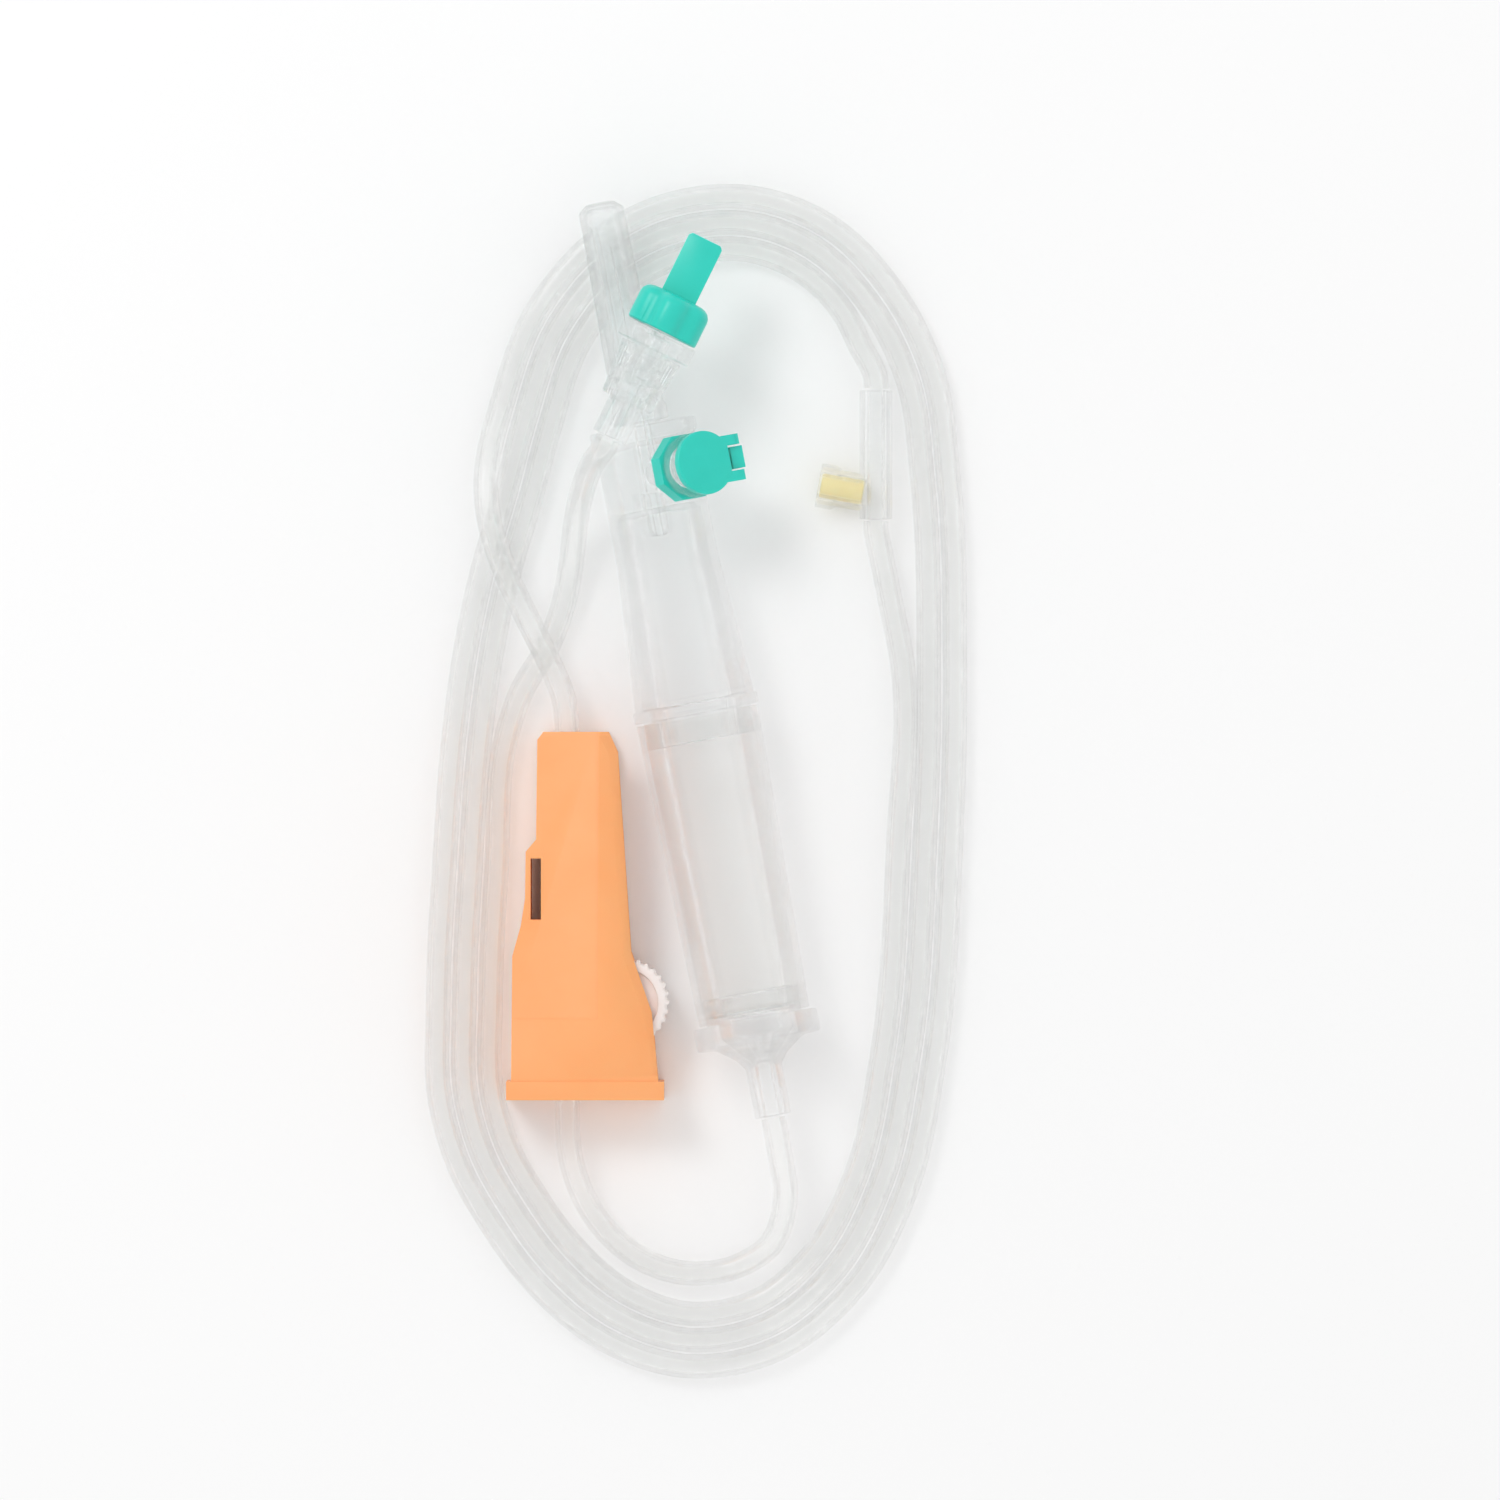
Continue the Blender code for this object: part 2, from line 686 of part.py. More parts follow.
def make_clamp(frame):
    width, flange_length, thick = CLAMP_FLANGE
    low = CLAMP_SIDE_INSET
    high = thick - CLAMP_SIDE_INSET
    body = extruded("clamp_body", CLAMP_OUTLINE, low, high, frame)
    bevel = body.modifiers.new("edges", "BEVEL")
    bevel.width = CLAMP_EDGE * MM
    bevel.segments = 2
    bevel.limit_method = "ANGLE"
    bevel.angle_limit = math.radians(40)
    flange = block("clamp_flange", (0, 0, 0), (width, flange_length, thick), frame)
    join(body, flange)

    wall_low = low + CLAMP_SIDE_WALL
    wall_high = high - CLAMP_SIDE_WALL
    middle = thick / 2
    tube_at = (CLAMP_BED + GAP + TUBE_RADIUS, 0, middle)
    channel = block(
        "channel_cutter",
        (CLAMP_BED, CLAMP_CHANNEL_START, wall_low),
        (width + OVERRUN, CLAMP_LENGTH + OVERRUN, wall_high),
        frame,
    )
    passage_low = -CLAMP_CHANNEL_START - OVERRUN
    passage = rod("passage_cutter", TUBE_RADIUS + GAP, passage_low, OVERRUN, 16, frame, tube_at, (90, 0, 0))
    pocket = block(
        "pocket_cutter",
        (POCKET_LOW[0], -OVERRUN, POCKET_LOW[1]),
        (POCKET_LOW[0] + POCKET_SIZE[0], POCKET_SIZE[1], POCKET_LOW[1] + POCKET_SIZE[2]),
        frame,
    )
    window = block(
        "window_cutter",
        (WINDOW_LOW[0], WINDOW_LOW[1], -OVERRUN),
        (WINDOW_LOW[0] + WINDOW_SIZE[0], WINDOW_LOW[1] + WINDOW_SIZE[1], thick + OVERRUN),
        frame,
    )
    # The stubs of the roller run in a groove in each side wall
    run = Vector(ROLLER_END) - Vector(ROLLER_START)
    slope = math.degrees(math.atan2(run.y, run.x))
    half = STUB_RADIUS + GAP
    outline = []
    for i in range(9):
        angle = math.pi * (0.5 + i / 8)
        outline.append((half * math.cos(angle), half * math.sin(angle)))
    for i in range(9):
        angle = math.pi * (i / 8 - 0.5)
        outline.append((run.length + half * math.cos(angle), half * math.sin(angle)))
    groove = extruded(
        "groove_cutter",
        outline,
        wall_low - GROOVE_DEPTH,
        wall_high + GROOVE_DEPTH,
        frame,
        (*ROLLER_START, 0),
        (0, 0, slope),
    )
    cut(body, channel, passage, pocket, window, groove)
    finish(body, ORANGE, 0.35)

    axle = empty("roller_axle", (*ROLLER_START, middle), (0, 0, 0), frame)
    half_width = (wall_high - wall_low) / 2 - GAP
    rim = lobed(ROLLER_RADIUS - ROLLER_TOOTH / 2, ROLLER_TEETH, ROLLER_TOOTH / 2, 3)
    inset = lobed(ROLLER_RADIUS - ROLLER_TOOTH - ROLLER_EDGE, ROLLER_TEETH, 0, 3)
    rings = (
        (-half_width, inset),
        (-half_width + ROLLER_EDGE, rim),
        (half_width - ROLLER_EDGE, rim),
        (half_width, inset),
    )
    roller = stacked("clamp_roller", rings, axle)
    stub = half_width + GROOVE_DEPTH
    stubs = rod("roller_stubs", STUB_RADIUS, -stub, stub, 16, axle)
    join(roller, stubs)
    finish(roller, ROLLER_WHITE, 0.45)


def make_site(frame):
    # Local Z runs up the tube; the branch leaves it to the left
    site = turned(
        "site_body",
        (
            (0, -SITE_RUN_DOWN),
            (SITE_RUN_RADIUS - EDGE, -SITE_RUN_DOWN),
            (SITE_RUN_RADIUS, -SITE_RUN_DOWN + EDGE),
            (SITE_RUN_RADIUS, SITE_RUN_UP - EDGE),
            (SITE_RUN_RADIUS - EDGE, SITE_RUN_UP),
            (0, SITE_RUN_UP),
        ),
        24,
        frame,
    )
    turn = (0, -90 + SITE_BRANCH_TURN, 0)
    cup_low = SITE_BRANCH_LENGTH - SITE_CUP_LENGTH
    branch = turned(
        "site_branch",
        (
            (0, 0),
            (SITE_RUN_RADIUS - EDGE, 0),
            (BRANCH_RADIUS, SITE_RUN_RADIUS),
            (BRANCH_RADIUS, cup_low),
            (SITE_HEIGHT, cup_low + SITE_CUP_EXTRA),
            (SITE_HEIGHT, SITE_BRANCH_LENGTH - EDGE),
            (SITE_HEIGHT - EDGE, SITE_BRANCH_LENGTH),
            (0, SITE_BRANCH_LENGTH),
        ),
        24,
        frame,
        (0, 0, 0),
        turn,
    )
    join(site, branch)
    bore = rod("site_bore_cutter", TUBE_BORE, -SITE_RUN_DOWN - OVERRUN, SITE_RUN_UP + OVERRUN, 16, frame)
    hole_radius = SEPTUM_RADIUS + GAP
    hole_low = TUBE_BORE + SEPTUM_FLOOR
    hole_high = SITE_BRANCH_LENGTH + OVERRUN
    hole = rod("septum_hole_cutter", hole_radius, hole_low, hole_high, 20, frame, (0, 0, 0), turn)
    cut(site, bore, hole)
    finish(site, CLEAR, 0.12, 0.8)
    septum_high = SITE_BRANCH_LENGTH - SEPTUM_SINK
    septum = rod("site_septum", SEPTUM_RADIUS, hole_low + GAP, septum_high, 20, frame, (0, 0, 0), turn)
    finish(septum, YELLOW, 0.55)


def make_connector(frame):
    # Local Z runs from the tube to the end cap
    lock_low = GAP
    lock_floor = lock_low + LOCK_FLOOR
    luer_flange_low = lock_floor + GAP
    luer_flange_high = luer_flange_low + LUER_FLANGE_THICK
    nozzle_high = luer_flange_high + LUER_NOZZLE_LENGTH
    neck = SOCKET_RADIUS - LUER_NECK_STEP
    luer = turned(
        "luer_connector",
        (
            (LUER_BORE, -LUER_SOCKET),
            (SOCKET_RADIUS - EDGE, -LUER_SOCKET),
            (SOCKET_RADIUS, -LUER_SOCKET + EDGE),
            (SOCKET_RADIUS, 0),
            (neck, 0),
            (neck, luer_flange_low),
            (LUER_FLANGE_RADIUS, luer_flange_low),
            (LUER_FLANGE_RADIUS, luer_flange_high),
            (LUER_NOZZLE_RADIUS, luer_flange_high),
            (LUER_NOZZLE_RADIUS - LUER_TAPER, nozzle_high),
            (LUER_BORE, nozzle_high),
        ),
        24,
        frame,
    )
    finish(luer, CLEAR, 0.12, 0.8)

    lock_high = lock_low + LOCK_LENGTH
    outer_foot = lobed(LOCK_FOOT_RADIUS - LOCK_RIB / 2, LOCK_RIBS, LOCK_RIB / 2, 4)
    outer_head = lobed(LOCK_HEAD_RADIUS - LOCK_RIB / 2, LOCK_RIBS, LOCK_RIB / 2, 4)
    collar = stacked("lock_collar", ((lock_low, outer_foot), (lock_high, outer_head)), frame)
    mouth = rod("lock_mouth_cutter", LOCK_BORE, lock_floor, lock_high + OVERRUN, 24, frame)
    eye = rod("lock_eye_cutter", neck + GAP, lock_low - OVERRUN, lock_floor + OVERRUN, 24, frame)
    cut(collar, mouth, eye)
    finish(collar, CLEAR, 0.2, 0.7)

    seat_low = lock_high + GAP
    seat_high = seat_low + SEAT_THICK
    spigot_bore = LUER_NOZZLE_RADIUS + GAP
    seat = turned(
        "cap_seat",
        (
            (spigot_bore, seat_low - SEAT_SPIGOT),
            (SEAT_SPIGOT_RADIUS, seat_low - SEAT_SPIGOT),
            (SEAT_SPIGOT_RADIUS, seat_low),
            (SEAT_RADIUS - EDGE, seat_low),
            (SEAT_RADIUS, seat_low + EDGE),
            (SEAT_RADIUS, seat_high - EDGE),
            (SEAT_RADIUS - EDGE, seat_high),
            (LUER_BORE, seat_high),
            (LUER_BORE, nozzle_high + GAP),
            (spigot_bore, nozzle_high + GAP),
        ),
        32,
        frame,
    )
    finish(seat, CLEAR, 0.15, 0.8)

    base_low = seat_high + GAP
    base_high = base_low + CAP_BASE_LENGTH
    bar_high = base_high + CAP_BAR_LENGTH
    # A hollow between two lobes lies in line with each side of the grip bar
    rim = lobed(CAP_BASE_RADIUS, CAP_BASE_LOBES, -CAP_BASE_LOBE, 12)
    inset = lobed(CAP_BASE_RADIUS - CAP_BASE_EDGE, CAP_BASE_LOBES, -CAP_BASE_LOBE, 12)
    cap = stacked(
        "end_cap",
        ((base_low, rim), (base_high - CAP_BASE_EDGE, rim), (base_high, inset)),
        frame,
    )
    # The grip bar lies flat, square at its end with the corners broken
    half = CAP_BAR_WIDTH / 2
    bar_low = base_high - OVERRUN
    bar_outline = (
        (-half, bar_low),
        (half, bar_low),
        (half, bar_high - CAP_BAR_CORNER),
        (half - CAP_BAR_CORNER, bar_high),
        (CAP_BAR_CORNER - half, bar_high),
        (-half, bar_high - CAP_BAR_CORNER),
    )
    bar = extruded("grip_bar", bar_outline, -CAP_BAR_THICK / 2, CAP_BAR_THICK / 2, frame, (0, 0, 0), (90, 0, 0))
    join(cap, bar)
    recess = rod("recess_cutter", CAP_RECESS_RADIUS, base_low - OVERRUN, base_low + CAP_RECESS, 24, frame)
    cut(cap, recess)
    finish(cap, TEAL, 0.4)

    membrane_radius = CAP_RECESS_RADIUS - GAP
    membrane = rod("cap_membrane", membrane_radius, base_low, base_low + MEMBRANE_THICK, 24, frame)
    finish(membrane, WHITE, 0.8)


def loop_point(index, lane):
    # A point of the outer loop, moved inwards by a number of lanes
    count = len(LOOP)
    here = Vector(LOOP[index % count])
    along = Vector(LOOP[(index + 1) % count]) - Vector(LOOP[(index - 1) % count])
    inward = Vector((along.y, -along.x)).normalized()
    at = here + inward * lane * LANE_PITCH
    return (at.x, at.y, LOOP_HEIGHT)


def loop_run(turn, first, last):
    # Each turn slides one lane inwards over its last few points
    points = []
    for index in range(first, last):
        share = max((index - SHIFT_START) / (len(LOOP) - SHIFT_START), 0.0)
        ease = share * share * (3 - 2 * share)
        points.append(loop_point(index, turn + ease))
    return points


def make_tube(name, points, frame):
    curve = bpy.data.curves.new(name, "CURVE")
    curve.dimensions = "3D"
    curve.bevel_depth = TUBE_RADIUS * MM
    curve.bevel_resolution = 2
    curve.use_fill_caps = True
    spline = curve.splines.new("POLY")
    spline.points.add(len(points) - 1)
    for slot, at in zip(spline.points, points):
        slot.co = (*(v * MM for v in at), 1)
    thing = bpy.data.objects.new(name, curve)
    thing.parent = frame
    bpy.context.scene.collection.objects.link(thing)
    finish(thing, SOFT_CLEAR, 0.2, 0.8)


def make_tubes(frame):
    outlet = along(CHAMBER_PLACE, RING_RADIUS, CHAMBER_TURN, OUTLET_END - GAP)
    outlet_straight = along(CHAMBER_PLACE, RING_RADIUS, CHAMBER_TURN, OUTLET_END - GAP - STRAIGHT)
    clamp_x = CLAMP_PLACE[0] + CLAMP_BED + GAP + TUBE_RADIUS
    clamp_z = CLAMP_FLANGE[2] / 2
    clamp_low = CLAMP_PLACE[1]
    in_clamp = [
        (clamp_x, clamp_low - OVERRUN, clamp_z),
        (clamp_x, clamp_low + CLAMP_CHANNEL_START, clamp_z),
        (clamp_x, clamp_low + CLAMP_LENGTH / 2, clamp_z),
        (clamp_x, clamp_low + CLAMP_LENGTH, clamp_z),
    ]
    site_up = SITE_RUN_UP + GAP
    site_down = SITE_RUN_DOWN + GAP
    into_site = [(SITE_PLACE[0], SITE_PLACE[1] + site_up + run, SITE_HEIGHT) for run in (STRAIGHT, 0)]
    from_site = [(SITE_PLACE[0], SITE_PLACE[1] - site_down - run, SITE_HEIGHT) for run in (0, STRAIGHT)]
    route = [outlet, outlet_straight, *LEAD_IN, *in_clamp, *OVER_LOOPS]
    route += loop_run(0, 0, len(LOOP)) + loop_run(1, 0, len(LOOP))
    route += loop_run(2, 0, SITE_LOOP_END)
    route += [*INTO_SITE, *into_site]
    make_tube("main_tube", [Vector(p) for p in route], frame)

    height = CONNECTOR_PLACE[2]
    end = along(CONNECTOR_PLACE, height, CONNECTOR_TURN, -LUER_SOCKET - GAP)
    end_straight = along(CONNECTOR_PLACE, height, CONNECTOR_TURN, -LUER_SOCKET - GAP - STRAIGHT)
    route = [*from_site, *OUT_OF_SITE]
    route += [loop_point(i, 2) for i in range(SITE_LOOP_START, SHIFT_START)]
    route += [*TO_CONNECTOR, end_straight, end]
    make_tube("patient_tube", [Vector(p) for p in route], frame)


def build():
    clear_scene()
    whole = empty("set_frame", (-ORIGIN[0], -ORIGIN[1], 0))
    chamber = empty("chamber_frame", (*CHAMBER_PLACE, RING_RADIUS), (-90, 0, CHAMBER_TURN), whole)
    vent = empty("vent_frame", (0, 0, VENT_AT), (90, 0, VENT_TURN), chamber)
    connector = empty("connector_frame", CONNECTOR_PLACE, (-90, 0, CONNECTOR_TURN), whole)
    clamp = empty("clamp_frame", (*CLAMP_PLACE, 0), (0, 0, 0), whole)
    site = empty("site_frame", (*SITE_PLACE, SITE_HEIGHT), (-90, 0, 0), whole)
    make_filter_holder(chamber)
    make_drip_chamber(chamber)
    make_spike_housing(chamber, vent)
    make_spike_cap(chamber)
    make_vent(vent)
    make_clamp(clamp)
    make_site(site)
    make_connector(connector)
    make_tubes(whole)


build()
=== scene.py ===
import math

import bmesh
import bpy
from mathutils import Matrix, Vector


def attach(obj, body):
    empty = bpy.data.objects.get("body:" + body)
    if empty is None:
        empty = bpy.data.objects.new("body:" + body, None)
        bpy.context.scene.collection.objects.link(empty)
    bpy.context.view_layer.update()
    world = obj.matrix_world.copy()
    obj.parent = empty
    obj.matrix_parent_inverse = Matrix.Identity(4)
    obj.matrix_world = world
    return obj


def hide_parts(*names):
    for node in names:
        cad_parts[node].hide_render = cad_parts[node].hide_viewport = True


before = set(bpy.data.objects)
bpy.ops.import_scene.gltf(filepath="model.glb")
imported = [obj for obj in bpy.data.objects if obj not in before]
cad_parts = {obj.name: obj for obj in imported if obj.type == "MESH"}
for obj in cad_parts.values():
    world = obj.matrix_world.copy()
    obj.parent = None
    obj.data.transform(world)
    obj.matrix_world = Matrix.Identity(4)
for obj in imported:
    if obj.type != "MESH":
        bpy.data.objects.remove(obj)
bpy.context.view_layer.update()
scene = bpy.context.scene
scene.view_settings.view_transform = "Standard"

# Camera. The photograph looks straight down on the set and shows 247 mm of table from
# side to side. A long lens keeps the tall chamber from leaning outwards.
MM = 0.001
PHOTO_WIDTH = 246.7 * MM
PHOTO_CENTRE = (7.87 * MM, -14.79 * MM)
LENS = 300.0
SENSOR = 36.0
camera_data = bpy.data.cameras.new("overhead_camera")
camera_data.lens = LENS
camera_data.sensor_width = SENSOR
camera_data.clip_end = 20.0
camera = bpy.data.objects.new("overhead_camera", camera_data)
camera.location = (*PHOTO_CENTRE, PHOTO_WIDTH * LENS / SENSOR)
scene.collection.objects.link(camera)
scene.camera = camera


# Tubing. Soft clear PVC, extruded 4.1 mm across with a 3 mm bore, and wound by hand into
# three flat loops. It starts at the foot of the drip chamber, runs through the clamp and
# lies over the loops before it joins them.
ORIGIN = (0.35, 0.82)
TUBE_RADIUS = 2.05
TUBE_BORE = 1.5
LANE_PITCH = 4.3
LOOP_HEIGHT = 2.1
STRAIGHT = 1.5
GAP = 0.3
LEAD_IN = (
    (13.0, -79.5, 9.7),
    (14.0, -88.0, 6.4),
    (11.6, -95.2, 3.7),
    (5.0, -99.2, 2.2),
    (-3.3, -99.8, 2.1),
    (-11.0, -96.8, 2.7),
    (-17.9, -89.5, 4.4),
    (-21.1, -81.3, 6.1),
)
IN_CLAMP = (
    (-21.7, -72.2, 6.8),
    (-21.7, -63.2, 6.8),
    (-21.7, -41.1, 6.8),
    (-21.7, -11.0, 6.8),
)
OVER_LOOPS = (
    (-22.3, -5.6, 6.7),
    (-24.9, 0.8, 6.6),
    (-28.3, 7.6, 6.6),
    (-32.0, 15.5, 6.6),
    (-34.5, 23.5, 6.5),
    (-35.1, 30.2, 5.4),
    (-34.4, 36.0, 3.5),
)
LOOP = (
    (-32.9, 41.6),
    (-27.0, 57.8),
    (-17.5, 69.2),
    (-5.0, 75.7),
    (8.5, 76.8),
    (21.0, 72.2),
    (31.0, 62.3),
    (38.1, 48.5),
    (40.9, 30.0),
    (41.9, 0.0),
    (41.2, -30.0),
    (38.5, -65.0),
    (33.8, -86.5),
    (25.5, -102.0),
    (13.0, -112.3),
    (-2.0, -115.2),
    (-16.5, -110.4),
    (-27.5, -101.0),
    (-34.5, -91.5),
    (-39.5, -82.5),
    (-42.6, -72.0),
    (-43.0, -55.0),
    (-42.0, -33.0),
    (-40.3, -10.7),
    (-38.5, 2.5),
    (-37.0, 15.0),
    (-35.2, 28.5),
)
SHIFT_START = 24
SITE_LOOP_END = 7
SITE_LOOP_START = 9
INTO_SITE = ((26.3, 52.4, 2.6), (28.1, 49.2, 3.3))
OUT_OF_SITE = ((29.5, 19.2, 3.2), (31.4, 10.0, 2.3))
TO_CONNECTOR = (
    (-29.2, -4.0, 2.1),
    (-25.2, 2.6, 2.1),
    (-22.4, 10.0, 2.4),
    (-21.1, 17.0, 4.2),
    (-20.3, 23.5, 8.0),
    (-19.0, 29.0, 13.0),
    (-17.2, 33.2, 17.6),
)
SITE_AT = (28.9, 27.9, 3.7)
SITE_UP = 17.2
SITE_DOWN = 4.0


def standing(x, y, z, turn):
    # A frame whose Z lies level on the table, turned from +Y, and whose Y points down
    place = Matrix.Translation(Vector((x - ORIGIN[0], y - ORIGIN[1], z)) * MM)
    return place @ Matrix.Rotation(math.radians(turn), 4, "Z") @ Matrix.Rotation(-math.pi / 2, 4, "X")


CHAMBER = standing(9.7, -61.68, 10.3, 10.76)
CONNECTOR = standing(-12.01, 42.4, 20.2, -26.3)
OUTLET_END = -12.4
LUER_END = -6.0


def loop_point(index, lane):
    count = len(LOOP)
    here = Vector(LOOP[index % count])
    along = Vector(LOOP[(index + 1) % count]) - Vector(LOOP[(index - 1) % count])
    inward = Vector((along.y, -along.x)).normalized()
    at = here + inward * lane * LANE_PITCH
    return (at.x, at.y, LOOP_HEIGHT)


def loop_run(turn, first, last):
    points = []
    for index in range(first, last):
        share = max((index - SHIFT_START) / (len(LOOP) - SHIFT_START), 0.0)
        ease = share * share * (3 - 2 * share)
        points.append(loop_point(index, turn + ease))
    return points


def on_table(points):
    return [Vector((x - ORIGIN[0], y - ORIGIN[1], z)) * MM for x, y, z in points]


def flowing(points, spacing):
    # A smooth curve through the points, whose slope at each is weighed by the spans beside
    # it; where it would dip into the table it lies on the table
    spans = [(b - a).length for a, b in zip(points, points[1:])]
    slopes = [(points[1] - points[0]) / spans[0]]
    for i in range(1, len(points) - 1):
        before = (points[i] - points[i - 1]) / spans[i - 1]
        after = (points[i + 1] - points[i]) / spans[i]
        slopes.append((before * spans[i] + after * spans[i - 1]) / (spans[i - 1] + spans[i]))
    slopes.append((points[-1] - points[-2]) / spans[-1])
    curve = []
    for i, span in enumerate(spans):
        steps = max(2, round(span / spacing))
        for step in range(steps):
            t = step / steps
            curve.append(
                points[i] * (2 * t**3 - 3 * t**2 + 1)
                + slopes[i] * span * (t**3 - 2 * t**2 + t)
                + points[i + 1] * (3 * t**2 - 2 * t**3)
                + slopes[i + 1] * span * (t**3 - t**2)
            )
    return [Vector((at.x, at.y, max(at.z, LOOP_HEIGHT * MM))) for at in curve + [points[-1]]]


SMOOTH_BELOW = math.radians(32)


def keep(name, bm, body, slot, *nodes):
    # Every piece ends up here: its mesh, shading, body and the solids it stands for
    bmesh.ops.recalc_face_normals(bm, faces=bm.faces)
    mesh = bpy.data.meshes.new(name)
    bm.to_mesh(mesh)
    bm.free()
    mesh.shade_smooth()
    mesh.set_sharp_from_angle(angle=SMOOTH_BELOW)
    piece = bpy.data.objects.new(name, mesh)
    scene.collection.objects.link(piece)
    if body:
        dress(piece, body, slot, *nodes)
    return piece


def dress(piece, body, slot, *nodes):
    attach(piece, body)
    if nodes:
        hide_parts(*nodes)


def hose(name, path, radius, bore, sides, body, slot, *nodes):
    # Swept along the path without twisting; with no bore it is a solid rod
    bm = bmesh.new()
    heading = (path[1] - path[0]).normalized()
    side = heading.cross(Vector((0, 0, 1))).normalized()
    outside, inside = [], []
    for i, at in enumerate(path):
        ahead = path[min(i + 1, len(path) - 1)] - path[max(i - 1, 0)]
        heading = ahead.normalized()
        side = (side - heading * side.dot(heading)).normalized()
        up = side.cross(heading)
        for wall, reach in ((outside, radius), (inside, bore)):
            ring = []
            for k in range(sides):
                angle = 2 * math.pi * k / sides
                offset = (side * math.cos(angle) + up * math.sin(angle)) * reach * MM
                if reach:
                    ring.append(bm.verts.new(at + offset))
            wall.append(ring)
    if bore:
        loops = outside + inside[::-1]
        pairs = list(zip(loops, loops[1:] + loops[:1]))
    else:
        pairs = list(zip(outside, outside[1:]))
        bm.faces.new(outside[0])
        bm.faces.new(outside[-1])
    # The map runs once round the tube, and one step for each ring along it
    run_map = bm.loops.layers.uv.new("run")
    for step, (low, high) in enumerate(pairs):
        for k in range(sides):
            j = (k + 1) % sides
            face = bm.faces.new((low[k], low[j], high[j], high[k]))
            corners = ((k, step), (k + 1, step), (k + 1, step + 1), (k, step + 1))
            for loop, (around, ring) in zip(face.loops, corners):
                loop[run_map].uv = (around / sides, ring)
    return keep(name, bm, body, slot, *nodes)


outlet = [CHAMBER @ (Vector((0, 0, OUTLET_END - GAP - run)) * MM) for run in (0, STRAIGHT)]
site_in = [(SITE_AT[0], SITE_AT[1] + SITE_UP + GAP + run, SITE_AT[2]) for run in (STRAIGHT, 0)]
site_out = [(SITE_AT[0], SITE_AT[1] - SITE_DOWN - GAP - run, SITE_AT[2]) for run in (0, STRAIGHT)]
luer_end = [CONNECTOR @ (Vector((0, 0, LUER_END - GAP - run)) * MM) for run in (STRAIGHT, 0)]
turns = loop_run(0, 0, len(LOOP)) + loop_run(1, 0, len(LOOP)) + loop_run(2, 0, SITE_LOOP_END)
main_route = outlet + on_table([*LEAD_IN, *IN_CLAMP, *OVER_LOOPS, *turns, *INTO_SITE, *site_in])
last_turn = [loop_point(i, 2) for i in range(SITE_LOOP_START, SHIFT_START)]
patient_route = on_table([*site_out, *OUT_OF_SITE, *last_turn, *TO_CONNECTOR]) + luer_end
TUBE_STEP = 2.5 * MM
TUBE_SIDES = 20
main_path = flowing(main_route, TUBE_STEP)
patient_path = flowing(patient_route, TUBE_STEP)
main_tube = hose(
    "main_tube_pvc", main_path, TUBE_RADIUS, TUBE_BORE, TUBE_SIDES, "set", "clear_soft", "main_tube"
)
patient_tube = hose(
    "patient_tube_pvc",
    patient_path,
    TUBE_RADIUS,
    TUBE_BORE,
    TUBE_SIDES,
    "set",
    "clear_soft",
    "patient_tube",
)


def linear(code):
    # sRGB hex to the linear colour that shaders take
    channels = [int(code[i : i + 2], 16) / 255 for i in (1, 3, 5)]
    return (*[c / 12.92 if c <= 0.04045 else ((c + 0.055) / 1.055) ** 2.4 for c in channels], 1)


def node(tree, kind, settings=(), links=()):
    # Adds one node; settings are socket or property values, links are (socket, output)
    made = tree.nodes.new(kind)
    for key, value in dict(settings).items():
        if key in made.inputs:
            made.inputs[key].default_value = value
        else:
            setattr(made, key, value)
    for key, output in dict(links).items():
        tree.links.new(output, made.inputs[key])
    return made


def plastic(name, settings):
    material = bpy.data.materials.new(name)
    material.use_nodes = True
    shader = material.node_tree.nodes["Principled BSDF"]
    for key, value in settings.items():
        shader.inputs[key].default_value = value
    return material, material.node_tree, shader


def grain(tree, shader, size, depth):
    # A fine uneven surface; size is the width and depth the height of one bump in millimetres
    where = node(tree, "ShaderNodeTexCoord")
    noise = node(
        tree,
        "ShaderNodeTexNoise",
        {"Scale": 1 / (size * MM), "Detail": 2.0},
        {"Vector": where.outputs["Object"]},
    )
    bump = node(
        tree,
        "ShaderNodeBump",
        {"Strength": 1.0, "Distance": depth * MM},
        {"Height": noise.outputs["Fac"]},
    )
    tree.links.new(bump.outputs["Normal"], shader.inputs["Normal"])
    return noise


def patchy(tree, shader, noise, low, high):
    # Roughness drifts between two values with the same noise
    spread = node(
        tree, "ShaderNodeMapRange", {"To Min": low, "To Max": high}, {"Value": noise.outputs["Fac"]}
    )
    tree.links.new(spread.outputs["Result"], shader.inputs["Roughness"])


# Soft PVC is clear with a faint warm cast and glossy from the extruder. Its surface is
# slightly wavy, and the die leaves faint lines along it that draw its highlights out.
soft_pvc, tree, shader = plastic(
    "soft_pvc",
    {
        "Base Color": linear("#FBFCFA"),
        "IOR": 1.53,
        "Transmission Weight": 1.0,
        "Alpha": 0.23,
        "Roughness": 0.06,
    },
)
noise = grain(tree, shader, 4.0, 0.006)
patchy(tree, shader, noise, 0.03, 0.10)
